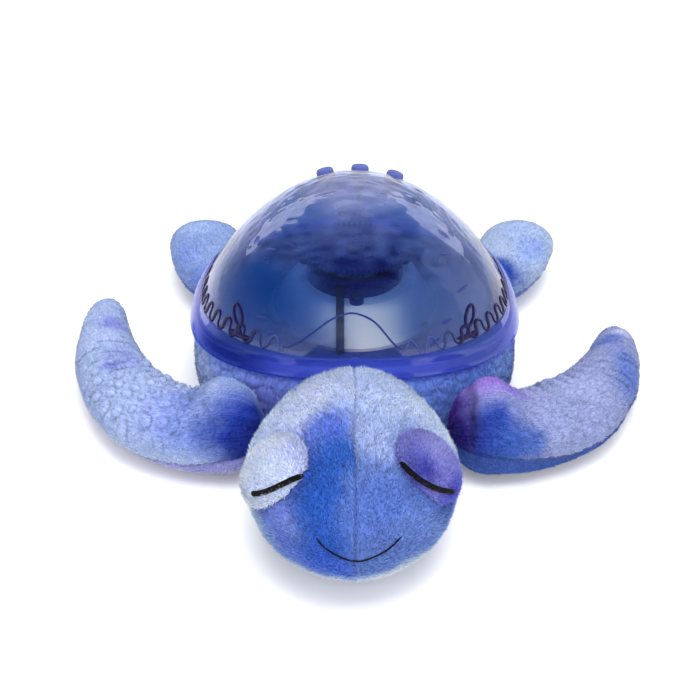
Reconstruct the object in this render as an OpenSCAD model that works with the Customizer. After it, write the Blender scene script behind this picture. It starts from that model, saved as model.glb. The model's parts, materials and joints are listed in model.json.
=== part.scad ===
// Plush turtle night light: a stuffed turtle whose clear shell covers a turning ripple projector.
// The head points to -Y, the belly rests on z = 0. Left and right are those of a viewer facing the head.

/* [Shell] */
// Half width of the shell rim
rim_half_w = 93; // [88:1:100]
// Reach of the rim in front of the shell axis
rim_front = 67; // [64:1:74]
// Reach of the rim behind the shell axis
rim_rear = 95; // [90:1:102]
// Height of the rim's lower edge above the floor
rim_z = 50; // [48:1:56]
// Height of the rim band up to the foot of the dome
band_h = 12; // [11:0.5:15]
// Inset of the dome's foot from the rim at the sides and the rear
dome_inset = 7; // [6:0.5:9]
// Inset of the dome's foot from the rim at the front
dome_inset_front = 3; // [2.5:0.5:5]
// Height of the dome above its foot
dome_h = 72; // [68:1:80]
// Roundness of the dome's crown
crown_round = 1.88; // [1.7:0.02:2.2]
// Steepness of the dome's flanks
flank_round = 1.24; // [1.1:0.02:1.5]
// Squareness of the rim in plan
rim_square = 2.5; // [2.2:0.1:2.8]
// Wall of the shell
shell_wall = 2.4; // [1.8:0.2:2.8]
// Depth of the lip that hides the tray flange
lip_h = 2; // [1.5:0.5:3]
// Width of the ledge inside the rim
ledge_w = 13; // [12:0.5:15]
// Thickness of the ledge
ledge_t = 2.2; // [2:0.2:3]
// Number of screws that hold the shell
shell_screws = 6; // [4:1:8]

/* [Buttons] */
// Spacing of the three buttons
button_pitch = 19.5; // [18:0.5:22]
// Place of the middle button to the right of the shell axis
button_x = 3; // [-5:0.5:5]
// Place of the button row behind the shell axis
button_y = 36; // [30:1:40]
// Button diameter
button_d = 10; // [8:0.5:11]
// How far a button stands proud
button_proud = 4.5; // [3:0.5:5]
// Travel of a button
button_travel = 0.8; // [0.5:0.1:1]
// Running clearance round a button
button_gap = 0.35; // [0.3:0.05:0.5]

/* [Tray] */
// Half width of the tray's bowl
tray_half_w = 66; // [64:1:72]
// Reach of the bowl in front of the shell axis
tray_front = 50; // [49:1:54]
// Reach of the bowl behind the shell axis
tray_rear = 74; // [72:1:80]
// Corner radius of the bowl
tray_corner = 40; // [30:1:46]
// Wall and floor of the tray
tray_wall = 2.4; // [2:0.2:3]
// Thickness of the tray flange under the rim
flange_t = 3.5; // [3:0.25:4]
// Thickness of the stuffed belly under the tray
belly_t = 5; // [4:0.5:7]
// Thickness of the deck plate
deck_t = 2; // [1.6:0.2:2.6]

/* [Battery bay] */
// Cell diameter
cell_d = 14.5; // [14:0.1:15]
// Cell length with its nub
cell_l = 50.5; // [49.5:0.5:51.5]
// Spacing of the cells
cell_pitch = 15.6; // [15.4:0.1:16]
// Place of the bay's front behind the shell axis
bay_front = 4; // [3:0.5:6]
// Length of a compressed cell spring
spring_l = 6.5; // [5:0.5:7.5]
// Wall of the bay, which is also the door's seat
bay_wall = 4; // [3.5:0.5:5]
// Clearance round the battery door
door_gap = 0.4; // [0.3:0.1:0.6]

/* [Projector] */
// Place of the lamp axis behind the shell axis
lamp_y = 5; // [2:1:7]
// Radius of the lamp tower
tower_r = 27; // [25:0.5:28]
// Height of the lamp tower
tower_h = 10; // [9:0.5:14]
// Height of the skirt under the tower
skirt_h = 20; // [16:1:22]
// Radius of the skirt's foot
skirt_r = 46; // [44:1:47]
// Gear module
gear_module = 1; // [0.9:0.05:1.1]
// Teeth of the ripple disc
disc_teeth = 52; // [48:1:54]
// Teeth of the drive pinion
pinion_teeth = 18; // [16:1:20]
// Thickness of the toothed disc rim
disc_t = 3; // [2.5:0.25:4]
// Gap between the tower and the disc
disc_lift = 4; // [3:0.5:5]
// Radius of the disc's pin
pin_r = 1.5; // [1.25:0.05:2]
// Motor radius
motor_r = 7; // [6:0.5:7.5]

/* [Electronics] */
// Speaker radius
speaker_r = 18; // [16:0.5:19]
// Place of the speaker in front of the shell axis
speaker_y = 26; // [25:0.5:27]
// Half width of the main board
board_half_w = 44; // [43:0.5:46]
// Length of the main board
board_l = 68; // [66:1:70]
// Height of the board's posts
board_post_h = 26; // [24:1:28]

/* [Plush] */
// Half width of the stuffed body
body_half_w = 91; // [88:1:95]
// Half width of the head
head_half_w = 55.5; // [50:0.5:60]
// Half length of the head
head_half_l = 72; // [66:1:76]
// Half height of the head
head_half_h = 42; // [38:0.5:46]
// Place of the head's middle in front of the shell axis
head_y = 136; // [132:1:142]
// Radius of a front flipper's stump
front_root_r = 23; // [21:0.5:24]
// Reach of a front flipper to the side
front_reach = 77.5; // [72:0.5:84]
// Sweep of a front flipper to the rear
front_sweep = 114; // [106:1:118]
// Radius of a rear flipper's stump
rear_root_r = 15; // [13:0.5:16]
// Reach of a rear flipper to the side
rear_reach = 51.5; // [46:0.5:56]
// Sweep of a rear flipper to the rear
rear_sweep = 124; // [114:1:132]
// Gap between a flipper's stump and its pocket
stump_gap = 0.4; // [0.3:0.1:0.6]

/* [Hidden] */
$fn = 48;
eps = 0.01;

// Where the shell axis stands from the middle of the whole toy
shell_x = -2;
shell_y = 30;
// Sides of a loft, and rings of the dome
plan_sides = 48;
dome_rings = 12;

// Small fits: moving plates, plush, shafts, threads and screw clearance
run_gap = 0.3;
soft_gap = 0.2;
shaft_gap = 0.08;
thread_gap = 0.05;
pass_gap = 0.25;
cup_gap = 0.5;

// Plate thicknesses: circuit boards, lamp feet, tower floor, wall and ears, spider, disc and contacts
board_t = 1.6;
foot_t = 2;
tower_floor = 2;
tower_wall = 2.2;
ear_t = 3;
spider_t = 2;
film_t = 1.2;
retainer_t = 1.4;
contact_t = 0.5;

// Depths of the screw holes in the tray's posts, the deck's bosses and the lamp's bosses
post_bite = 9;
deck_bite = 4;
lamp_bite = 8;
bite_spare = 1;

// Heights
flange_top = rim_z + lip_h;
flange_bottom = flange_top - flange_t;
deck_top = flange_top + deck_t;
dome_z = rim_z + band_h;
floor_top = belly_t + tray_wall;
board_z = floor_top + board_post_h;
board_top = board_z + board_t;
tower_z = deck_top + skirt_h;
tower_top = tower_z + tower_h;
disc_z = tower_top + disc_lift;

// Screws: shank radius, head radius, head height
screw_r = 1.25;
head_r = 2.5;
head_h = 1.6;
boss_r = 3.2;

// Functions

function sgn_pow(v, e) = sign(v) * pow(abs(v), e);

// A point of an egg-shaped plan: half width, front and rear reach, squareness, angle
function egg_point(hw, front, rear, e, t) =
    [hw * sgn_pow(cos(t), 2 / e), (sin(t) < 0 ? front : rear) * sgn_pow(sin(t), 2 / e)];

function egg(hw, front, rear, e, n = plan_sides) =
    [for (i = [0 : n - 1]) egg_point(hw, front, rear, e, 360 * i / n)];

// The rim's plan drawn in by an inset
function rim_plan(inset) = egg(rim_half_w - inset, rim_front - inset, rim_rear - inset, rim_square);
function rim_point(inset, t) =
    egg_point(rim_half_w - inset, rim_front - inset, rim_rear - inset, rim_square, t);

function raise(plan, z) = [for (p = plan) [p[0], p[1], z]];

// Half axes of the dome's foot
dome_hw = rim_half_w - dome_inset;
dome_front = rim_front - dome_inset_front;
dome_rear = rim_rear - dome_inset;

function dome_rise(k) = pow(max(0, 1 - pow(k, crown_round)), 1 / flank_round);

// Height of the dome's outer face above a point, and its outward normal there
function dome_height(x, y) =
    dome_z + dome_h * dome_rise(norm([x / dome_hw, y / (y < 0 ? dome_front : dome_rear)]));
function unit(v) = v / norm(v);
function dome_normal(x, y, d = 0.05) =
    unit([(dome_height(x - d, y) - dome_height(x + d, y)) / (2 * d),
          (dome_height(x, y - d) - dome_height(x, y + d)) / (2 * d), 1]);

// One ring of the dome, k = 1 at its foot and 0 at its crown, drawn in by a wall
function dome_ring(k, inset) =
    raise(egg(dome_hw * k - inset, dome_front * k - inset, dome_rear * k - inset, 2 + 0.15 * pow(k, 4)),
          dome_z + dome_h * dome_rise(k) - inset * (1 - k));

// Rings of the rim band: inset from the rim and share of the band's height
band_steps = [[0.7, 0], [0, 0.06], [0.3, 0.5], [1.5, 0.8], [3.2, 0.94]];
function band_rings(inset) =
    [for (s = band_steps)
        let (front = min(s[0], dome_inset_front * 0.8))
        raise(egg(rim_half_w - s[0] - inset, rim_front - front - inset, rim_rear - s[0] - inset, rim_square),
              rim_z + band_h * s[1])];
function shell_rings(inset) =
    concat(band_rings(inset), [for (i = [0 : dome_rings - 1]) dome_ring(cos(88 * i / dome_rings), inset)]);

function mean(pts) = [for (k = [0 : 2]) sum([for (p = pts) p[k]]) / len(pts)];
function sum(v, i = 0) = i < len(v) ? v[i] + sum(v, i + 1) : 0;

// Side faces of a loft of n rings of m points, then the fans that close it
function side_faces(n, m, from = 0) =
    [for (i = [0 : n - 2], j = [0 : m - 1])
        let (a = from + i * m + j, b = from + i * m + (j + 1) % m)
        each [[a, a + m, b], [b, a + m, b + m]]];
function fan(pole, from, m) = [for (j = [0 : m - 1]) [pole, from + j, from + (j + 1) % m]];
function turned(faces) = [for (f = faces) [f[2], f[1], f[0]]];

// Points of a tube's ring around a point of its path
function tube_ring(p, dir, r, sides) =
    let (side = unit(cross(dir, abs(dir[0]) < 0.9 ? [1, 0, 0] : [0, 1, 0])), up = cross(dir, side))
    [for (j = [0 : sides - 1]) p + r * (cos(360 * j / sides) * side + sin(360 * j / sides) * up)];
function path_dir(path, i) =
    unit(path[min(i + 1, len(path) - 1)] - path[max(i - 1, 0)]);

// Involute of a pressure angle in degrees
function inv(a) = tan(a) * 180 / PI - a;
function half_tooth(r, pitch_r, teeth) =
    let (base_r = pitch_r * cos(20), slack = 0.1)
    90 / teeth + inv(20) - inv(acos(min(1, base_r / r))) - slack / pitch_r * 180 / PI;
function polar(r, a) = [r * cos(a), r * sin(a)];

// Outline of a spur gear
function gear_points(teeth) =
    let (pr = gear_module * teeth / 2, tip = pr + 0.85 * gear_module, root = pr - 1.15 * gear_module)
    [for (i = [0 : teeth - 1])
        let (a = 360 * i / teeth, h1 = half_tooth(root, pr, teeth), h2 = half_tooth(pr, pr, teeth),
             h3 = half_tooth(tip, pr, teeth))
        each [polar(root, a - h1), polar(pr, a - h2), polar(tip, a - h3),
              polar(tip, a + h3), polar(pr, a + h2), polar(root, a + h1)]];

// Stuffed body, ring by ring: inset from its widest plan and height, up to the flange
body_front = body_half_w - 22;
body_rear = body_half_w + 3;
body_top = flange_bottom - soft_gap;
body_steps = [[17, 0], [9, 0.06], [3, 0.2], [0, 0.45], [0, 0.7], [1.5, 0.9], [4, 1]];
body_rings =
    [for (s = body_steps)
        raise(egg(body_half_w - s[0], body_front - s[0], body_rear - s[0], rim_square), body_top * s[1])];

// Head: an egg that narrows to its crown and runs back into the neck
head_x = -1.5;
head_lift = 0.5;
neck_half_w = 36;
neck_low = 6;
neck_high = rim_z - 4;
neck_start = 0.7;
head_sides = 28;
head_mid = [head_x, -head_y, head_half_h + head_lift];
function smooth(v) = let (c = max(0, min(1, v))) c * c * (3 - 2 * c);
function head_ring(t) =
    let (swell = sqrt(max(0, 1 - t * t)), neck = smooth((t - neck_start) / (1 - neck_start)),
         high = (1 - neck) * (head_mid[2] + head_half_h * swell) + neck * neck_high,
         low = (1 - neck) * (head_mid[2] - head_half_h * swell) + neck * neck_low)
    [for (j = [0 : head_sides - 1])
        let (a = 360 * j / head_sides, z = cos(a) * swell,
             narrow = 1 - 0.16 * max(0, t) - 0.1 * max(0, z) * max(0, min(1, t + 0.5)),
             w = (1 - neck) * head_half_w * swell * narrow + neck * neck_half_w)
        [head_x + w * sin(a), head_half_l * t - head_y, (high + low) / 2 + (high - low) / 2 * cos(a)]];
head_rings = concat([for (i = [1 : 16]) head_ring(-cos(180 * i / 17))], [head_ring(1), head_ring(1.1)]);

// Flippers: an elliptical spine whose section swells and tapers
// Each is [side, root, reach, sweep, first angle, last angle, half widths, half thicknesses, tip, curl]
floor_gap = 0.6;
front_widths = [[0, 1], [0.15, 1.05], [0.4, 1.12], [0.65, 0.9], [0.85, 0.72], [1, 0.58]];
front_thick = [[0, 1], [0.3, 0.87], [0.7, 0.7], [1, 0.52]];
rear_widths = [[0, 1], [0.25, 1.45], [0.6, 1.62], [1, 1.5]];
rear_thick = [[0, 1], [0.5, 1], [1, 0.85]];
front_root_x = 72;
front_root_y = 78;
rear_root_x = 74;
rear_root_y = 72;
rear_root_z = 20;
front_tip = 16;
front_curl = 9;
front_curl_right = 1.5;
rear_tip = 20;
rear_curl = 3;
// The left flippers are swept a little less than the right ones
front_lean = 1;
front_odd = 2.5;
rear_odd = 10.5;
front_left = [-1, [front_root_x - front_lean, -front_root_y, front_root_r + floor_gap],
              front_reach - front_odd, front_sweep - front_lean, 0, 99, front_widths, front_thick, front_tip,
              front_curl];
front_right = [1, [front_root_x + front_lean, -front_root_y, front_root_r + floor_gap],
               front_reach + front_odd, front_sweep + front_lean, 0, 88, front_widths, front_thick, front_tip,
               front_curl_right];
rear_left = [-1, [rear_root_x, rear_root_y, rear_root_z], rear_reach - rear_odd, rear_sweep, 25, 72,
             rear_widths, rear_thick, rear_tip, rear_curl];
rear_right = [1, [rear_root_x, rear_root_y, rear_root_z], rear_reach + rear_odd, rear_sweep, 25, 72,
              rear_widths, rear_thick, rear_tip, rear_curl];
flipper_rings_n = 16;

function spine(f, u) =
    let (a = f[4] + (f[5] - f[4]) * u)
    [f[1][0] + f[2] * (sin(a) - sin(f[4])), f[1][1] + f[3] * (cos(f[4]) - cos(a))];
function spine_length(f, u, steps = 12) =
    sum([for (i = [0 : steps - 1]) norm(spine(f, u + (1 - u) * (i + 1) / steps)
                                        - spine(f, u + (1 - u) * i / steps))]);
function flipper_ring(f, u, root_r) =
    let (p = spine(f, u), q = unit(spine(f, u + 0.01) - spine(f, u)),
         left = spine_length(f, u),
         round_off = left < f[8] ? sqrt(max(0.0004, 1 - pow(1 - left / f[8], 2))) : 1,
         w = root_r * lookup(u, f[6]) * round_off, t = root_r * lookup(u, f[7]),
         mid = f[1][2] + t - root_r + f[9] * u * u)
    [for (j = [0 : 19])
        let (a = 360 * j / 20 * f[0])
        [f[0] * (p[0] - q[1] * w * cos(a)), p[1] + q[0] * w * cos(a), mid + t * round_off * sin(a)]];
// The stump's rounded end, then the blade
function stump_ring(f, root_r, turn) =
    let (q = unit(spine(f, 0.01) - spine(f, 0)), back = root_r * sin(turn))
    [for (p = flipper_ring(f, 0, root_r))
        let (c = root_of(f))
        c + (p - c) * cos(turn) - back * [f[0] * q[0], q[1], 0]];
function flipper_rings(f, root_r) =
    concat([for (turn = [84, 66, 44, 22]) stump_ring(f, root_r, turn)],
           [for (i = [0 : flipper_rings_n]) flipper_ring(f, sin(90 * i / flipper_rings_n), root_r)]);
function root_of(f) = [f[0] * f[1][0], f[1][1], f[1][2]];

// Screw places
shell_screw_inset = ledge_w * 0.6;
function shell_screw_at(i) = rim_point(shell_screw_inset, 360 * (i + 0.5) / shell_screws);
post_x = tray_half_w - 14;
post_spots = [for (sx = [-1, 1]) each [[sx * post_x, 24 - tray_front], [sx * post_x, tray_rear - 24]]];
board_front = -14;
board_spots = [for (sx = [-1, 1], y = [board_front + 6, board_front + board_l - 6])
                  [sx * (board_half_w - 5), y]];
lamp_foot_r = skirt_r + 4;
lamp_ring = lamp_foot_r - 2;
lamp_screw_angles = [-35, 145, 215];
tower_screw_angles = [-88, 25, 155];
ear_r = 4;
led_board_r = tower_r - 6;
ear_ring = tower_r + ear_r - 0.5;
plate_r = ear_ring + ear_r;
function lamp_spot(r, a) = [r * cos(a), lamp_y + r * sin(a)];

// Motor behind the tower
gear_centres = gear_module * (disc_teeth + pinion_teeth) / 2 + 0.1;
motor_y = lamp_y + gear_centres;
bracket_h = 8;
motor_z = deck_top + bracket_h;
motor_top = disc_z - 1.6;
shaft_r = 1;
shaft_in = 6;
pinion_t = disc_t + 1;
motor_cup = 1.6;
motor_screw_x = motor_r + motor_cup + head_r + 0.8;
bracket_half_w = motor_screw_x + 4;

// Battery bay and door
bay_half_l = (cell_l + spring_l) / 2 + contact_t;
bay_half_w = 1.5 * cell_pitch + 0.6;
bay_y = bay_front + bay_half_w;
cell_z = floor_top + 0.6 + cell_d / 2;
bay_top = cell_z + cell_d / 2 + 2.4;
door_half_x = bay_half_l + bay_wall - 0.6;
door_half_y = bay_half_w + bay_wall - 0.6;
door_tab = 13;
door_tab_half = 8;
door_screw_y = bay_y + door_half_y + door_tab - 6;
door_t = tray_wall - run_gap;
door_head_h = 0.8;

// Sockets on the board and the leads that end in them
socket_w = 8;
socket_d = 5;
socket_h = 5;
socket_in = 3;
speaker_lead_x = 12;
cell_lead_x = 24;
button_lead_x = 8;

// Speaker
speaker_screw_ring = speaker_r + 3.4;
speaker_flange_t = 1.6;
speaker_depth = 9;
magnet_h = 6;
speaker_angles = [90, 210, 330];

// Route of the wire sleeve, from the board's socket up the front of the skirt into the tower
sleeve_r = 2.2;
sleeve_gap = 0.4;
sleeve_x = -8;
socket_z = board_top + socket_h / 2;
sleeve_y = -(tray_front - tray_wall - sleeve_r - 0.5);
tower_face = lamp_y - sqrt(tower_r * tower_r - sleeve_x * sleeve_x);
sleeve_path = [[sleeve_x, board_front + socket_in, socket_z], [sleeve_x, board_front - 6, socket_z],
               [sleeve_x, board_front - 20, socket_z + 1], [sleeve_x, sleeve_y + 6, socket_z + 4],
               [sleeve_x, sleeve_y, flange_top - 5], [sleeve_x, sleeve_y, deck_top + 2],
               [sleeve_x, sleeve_y + 4, deck_top + 8], [sleeve_x, tower_face - 13.4, tower_z - 3.6],
               [sleeve_x, tower_face - 10.6, tower_z + 2.6], [sleeve_x, tower_face - 5, tower_z + 5.4],
               [sleeve_x, tower_face + 0.8, tower_z + 5.6]];

// Shapes

// A closed loft through rings of points
module loft(rings) {
    n = len(rings);
    m = len(rings[0]);
    points = concat([for (r = rings) each r], [mean(rings[0]), mean(rings[n - 1])]);
    faces = concat(side_faces(n, m), fan(n * m, 0, m), turned(fan(n * m + 1, (n - 1) * m, m)));
    polyhedron(points, faces, convexity = 4);
}

// A shell between an outer and an inner set of rings, open at its foot
module hollow_loft(outer, inner, crown, inner_crown) {
    n = len(outer);
    m = len(outer[0]);
    points = concat([for (r = outer) each r], [for (r = inner) each r], [crown, inner_crown]);
    foot = [for (j = [0 : m - 1])
               let (k = (j + 1) % m)
               each [[j, k, n * m + j], [k, n * m + k, n * m + j]]];
    faces = concat(side_faces(n, m), turned(fan(2 * n * m, (n - 1) * m, m)),
                   turned(side_faces(n, m, n * m)), fan(2 * n * m + 1, (2 * n - 1) * m, m), foot);
    polyhedron(points, faces, convexity = 6);
}

// A tube swept along a path
module tube(path, r, sides = 8) {
    loft([for (i = [0 : len(path) - 1]) tube_ring(path[i], path_dir(path, i), r, sides)]);
}

module rounded_plate(half_w, front, rear, r) {
    for (x = [-half_w + r, half_w - r], y = [-front + r, rear - r])
        translate([x, y])
            circle(r);
    translate([-half_w + r, -front])
        square([2 * (half_w - r), front + rear]);
    translate([-half_w, -front + r])
        square([2 * half_w, front + rear - 2 * r]);
}

module rounded_box(half_x, half_y, r) {
    rounded_plate(half_x, half_y, half_y, r);
}

// A pan-head screw pointing up, its head's seat at z = 0, with a cross slot
module screw(length, r = screw_r, hr = head_r, hh = head_h) {
    difference() {
        union() {
            translate([0, 0, -hh / 2])
                cylinder(r = r, h = length + hh / 2);
            translate([0, 0, -hh])
                cylinder(r = hr, h = hh);
        }
        for (a = [0, 90])
            rotate(a)
                translate([-hr * 0.6, -0.3, -hh - eps])
                    cube([hr * 1.2, 0.6, hh * 0.5]);
    }
}

// The same screw pointing down
module screw_down(length) {
    rotate([180, 0, 0])
        screw(length);
}

// Local frame on the dome's outer face, z along the outward normal
module on_dome(x, y) {
    v = dome_normal(x, y);
    translate([x, y, dome_height(x, y)])
        rotate([0, acos(v[2]), atan2(v[1], v[0])])
            children();
}

// The same frame at a step along the button row
module on_row(k) {
    on_dome(button_x + k * button_pitch, button_y)
        children();
}

module ring_2d(outer, inner) {
    difference() {
        circle(outer);
        circle(inner);
    }
}

module placed() {
    translate([shell_x, shell_y, 0])
        children();
}

// Button stack, measured down from the dome's face along each button's axis
flange_depth = shell_wall + 0.7;
stem_depth = flange_depth + 1.4 + 1.9;
plunger_depth = stem_depth + button_travel + 0.1;
switch_depth = plunger_depth + 0.8;
bracket_depth = switch_depth + 3.5;
bracket_t = 2;
bracket_half_d = 6;
bracket_ends = [-1.8, 1.8];
switch_half = 3;
pad_half = switch_half * 1.5;

// One ring of the strip that bends under the row, a distance s along it from a step's own axis
function strip_ring(k, s) =
    let (x = button_x + k * button_pitch, n = dome_normal(x, button_y), across = unit(cross(n, [1, 0, 0])),
         mid = [x, button_y, dome_height(x, button_y)] - s * cross(n, across) - bracket_depth * n,
         low = mid - bracket_t * n, half = bracket_half_d * across)
    [mid + half, mid - half, low - half, low + half];

// Shell

module dome_shell() {
    color("royalblue", 0.6)
    placed()
        difference() {
            union() {
                hollow_loft(shell_rings(0), shell_rings(shell_wall), [0, 0, dome_z + dome_h],
                            [0, 0, dome_z + dome_h - shell_wall]);
                translate([0, 0, flange_top])
                    linear_extrude(ledge_t)
                        difference() {
                            polygon(rim_plan(shell_wall * 0.6));
                            polygon(rim_plan(ledge_w));
                        }
                for (i = [0 : shell_screws - 1])
                    translate(concat(shell_screw_at(i), flange_top))
                        cylinder(r = boss_r, h = ledge_t + deck_bite);
                for (k = bracket_ends)
                    on_row(k)
                        translate([0, 0, -bracket_depth])
                            cylinder(r = boss_r, h = bracket_depth - shell_wall * 0.5);
            }
            for (i = [0 : shell_screws - 1])
                translate(concat(shell_screw_at(i), flange_top - eps))
                    cylinder(r = screw_r + thread_gap, h = ledge_t + deck_bite - bite_spare);
            for (k = [-1, 0, 1])
                on_row(k)
                    translate([0, 0, -shell_wall * 3])
                        cylinder(d = button_d + 2 * button_gap, h = shell_wall * 4);
            for (k = bracket_ends)
                on_row(k)
                    translate([0, 0, -bracket_depth - eps])
                        cylinder(r = screw_r + thread_gap, h = bracket_depth - shell_wall - 1);
        }
}

// A button: crowned cap, retaining flange and stem
module button(k) {
    cap_r = button_d / 2;
    color("slateblue")
    placed()
        on_row(k)
            rotate_extrude()
                difference() {
                    union() {
                        translate([0, -flange_depth])
                            square([cap_r, flange_depth + button_proud - 1]);
                        translate([0, button_proud - 1])
                            square([cap_r - 1, 1]);
                        translate([cap_r - 1, button_proud - 1])
                            circle(1);
                        translate([0, -flange_depth - 1.4])
                            square([cap_r + 1.5, 1.4]);
                        translate([0, -stem_depth])
                            square([2, stem_depth - flange_depth]);
                    }
                    translate([-cap_r, -stem_depth - 1])
                        square([cap_r, stem_depth + button_proud + 2]);
                }
}

module button_left() { button(-1); }
module button_centre() { button(0); }
module button_right() { button(1); }

// Bent strip under the buttons that carries their switches
module button_bracket() {
    color("white")
    placed()
        difference() {
            loft([for (k = [bracket_ends[0], -1, 0, 1, bracket_ends[1]], s = [-pad_half, pad_half])
                     strip_ring(k, s)]);
            for (k = bracket_ends)
                on_row(k)
                    translate([0, 0, -bracket_depth - 3 * bracket_t])
                        cylinder(r = screw_r + 0.2, h = 5 * bracket_t);
        }
}

module bracket_screws() {
    color("silver")
    placed()
        for (k = bracket_ends)
            on_row(k)
                translate([0, 0, -bracket_depth - bracket_t])
                    screw(bracket_t + 6);
}

module tact_switches() {
    color("dimgray")
    placed()
        for (k = [-1, 0, 1])
            on_row(k) {
                translate([-switch_half, -switch_half, -bracket_depth])
                    cube([2 * switch_half, 2 * switch_half, bracket_depth - switch_depth]);
                translate([0, 0, -switch_depth - eps])
                    cylinder(r = 1.75, h = switch_depth - plunger_depth + eps);
            }
}

// Tray

module tray_plan(grow) {
    rounded_plate(tray_half_w + grow, tray_front + grow, tray_rear + grow, tray_corner + grow);
}

module base_tray() {
    color("ghostwhite")
    placed()
        difference() {
            union() {
                difference() {
                    union() {
                        translate([0, 0, belly_t])
                            linear_extrude(flange_top - belly_t)
                                tray_plan(0);
                        translate([0, 0, flange_bottom])
                            linear_extrude(flange_t)
                                polygon(rim_plan(shell_wall + 2.2));
                    }
                    translate([0, 0, floor_top])
                        linear_extrude(flange_top)
                            tray_plan(-tray_wall);
                }
                tray_inside();
            }
            tray_holes();
        }
}

// Posts, bosses and the walls of the battery bay
module tray_inside() {
    for (p = post_spots)
        translate(concat(p, floor_top - eps))
            cylinder(r = 4, h = flange_top - floor_top + eps);
    for (p = board_spots)
        translate(concat(p, floor_top - eps))
            cylinder(r = boss_r, h = board_post_h + eps);
    for (a = speaker_angles)
        translate(concat(speaker_spot(a), floor_top - eps))
            cylinder(r = 3, h = speaker_flange_t + eps);
    translate([0, door_screw_y, floor_top])
        cylinder(r = 4, h = 10);
    translate([-4, bay_y + bay_half_w, floor_top])
        cube([8, door_screw_y - bay_y - bay_half_w, 10]);
    translate([0, bay_y, floor_top - eps])
        linear_extrude(bay_top - floor_top)
            rounded_box(bay_half_l + bay_wall, bay_half_w + bay_wall, 3);
}

function speaker_spot(a) = polar(speaker_screw_ring, a) - [0, speaker_y];

module door_plan(grow) {
    translate([0, bay_y])
        rounded_box(door_half_x + grow, door_half_y + grow, 3);
    translate([-door_tab_half - grow, bay_y])
        square([2 * (door_tab_half + grow), door_half_y + door_tab + grow]);
}

module tray_holes() {
    translate([-bay_half_l, bay_y - bay_half_w, belly_t])
        cube([2 * bay_half_l, 2 * bay_half_w, bay_top - 1.6 - belly_t]);
    translate([0, 0, belly_t - eps])
        linear_extrude(tray_wall + eps)
            door_plan(door_gap);
    translate([0, door_screw_y, belly_t])
        cylinder(r = screw_r + thread_gap, h = tray_wall + 8);
    for (i = [0 : shell_screws - 1])
        translate(concat(shell_screw_at(i), flange_bottom - eps)) {
            cylinder(r = screw_r + pass_gap, h = flange_t + 2 * eps);
            cylinder(r = head_r + cup_gap, h = head_h + run_gap + eps);
        }
    for (p = post_spots)
        translate(concat(p, flange_top - post_bite))
            cylinder(r = screw_r + thread_gap, h = post_bite + eps);
    for (p = board_spots)
        translate(concat(p, board_z - post_bite))
            cylinder(r = screw_r + thread_gap, h = post_bite + eps);
    for (a = speaker_angles)
        translate(concat(speaker_spot(a), belly_t + 0.6))
            cylinder(r = screw_r + thread_gap, h = tray_wall + speaker_flange_t);
    for (ring = [1 : 2], i = [0 : 6 * ring - 1])
        translate(concat(polar(5 * ring, 60 * i / ring) - [0, speaker_y], belly_t - eps))
            cylinder(r = 1.4, h = tray_wall + 2 * eps);
}

module deck_plate() {
    color("midnightblue")
    placed()
        difference() {
            union() {
                translate([0, 0, flange_top])
                    linear_extrude(deck_t)
                        polygon(rim_plan(ledge_w + run_gap));
                for (a = lamp_screw_angles)
                    translate(concat(lamp_spot(lamp_ring, a), flange_top - deck_bite - bite_spare))
                        cylinder(r = boss_r, h = deck_bite + bite_spare + eps);
                for (x = [-motor_screw_x, motor_screw_x])
                    translate([x, motor_y, flange_top - deck_bite - bite_spare])
                        cylinder(r = boss_r, h = deck_bite + bite_spare + eps);
            }
            for (p = post_spots)
                translate(concat(p, flange_top - eps))
                    cylinder(r = screw_r + pass_gap, h = deck_t + 2 * eps);
            for (a = lamp_screw_angles)
                translate(concat(lamp_spot(lamp_ring, a), flange_top - deck_bite))
                    cylinder(r = screw_r + thread_gap, h = deck_bite + deck_t + eps);
            for (x = [-motor_screw_x, motor_screw_x])
                translate([x, motor_y, flange_top - deck_bite])
                    cylinder(r = screw_r + thread_gap, h = deck_bite + deck_t + eps);
            translate([sleeve_x, sleeve_y, flange_top - eps])
                cylinder(r = sleeve_r + sleeve_gap, h = deck_t + 2 * eps);
            translate(concat(lead_hole, flange_top - eps))
                cylinder(r = 2, h = deck_t + 2 * eps);
        }
}

// Projector

// White skirt that lifts the lamp off the deck, open behind for the motor
module lamp_base() {
    color("ivory")
    placed()
        difference() {
            union() {
                translate([0, lamp_y, deck_top])
                    rotate_extrude()
                        polygon([[skirt_r - 2.4, 0], [lamp_foot_r, 0], [lamp_foot_r, foot_t], [skirt_r, foot_t],
                                 [plate_r, skirt_h], [tower_r - 6, skirt_h], [tower_r - 6, skirt_h - 2],
                                 [plate_r - 1.2, skirt_h - 2]]);
                for (a = tower_screw_angles)
                    translate(concat(lamp_spot(ear_ring - 2, a), tower_z - lamp_bite - bite_spare))
                        cylinder(r = boss_r, h = lamp_bite);
            }
            for (a = tower_screw_angles)
                translate(concat(lamp_spot(ear_ring, a), tower_z - lamp_bite))
                    cylinder(r = screw_r + thread_gap, h = lamp_bite + eps);
            for (a = lamp_screw_angles)
                translate(concat(lamp_spot(lamp_ring, a), deck_top - eps)) {
                    cylinder(r = screw_r + pass_gap, h = foot_t + 2);
                    translate([0, 0, foot_t + eps])
                        cylinder(r = head_r + cup_gap, h = skirt_h / 2);
                }
            translate([sleeve_x, sleeve_y, deck_top - 1])
                cylinder(r = sleeve_r + sleeve_gap, h = foot_t + 2);
            translate([-bracket_half_w - 1.5, motor_y - motor_r - 2, deck_top - 1])
                cube([2 * bracket_half_w + 3, 2 * skirt_r, skirt_h + 2]);
        }
}

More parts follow.
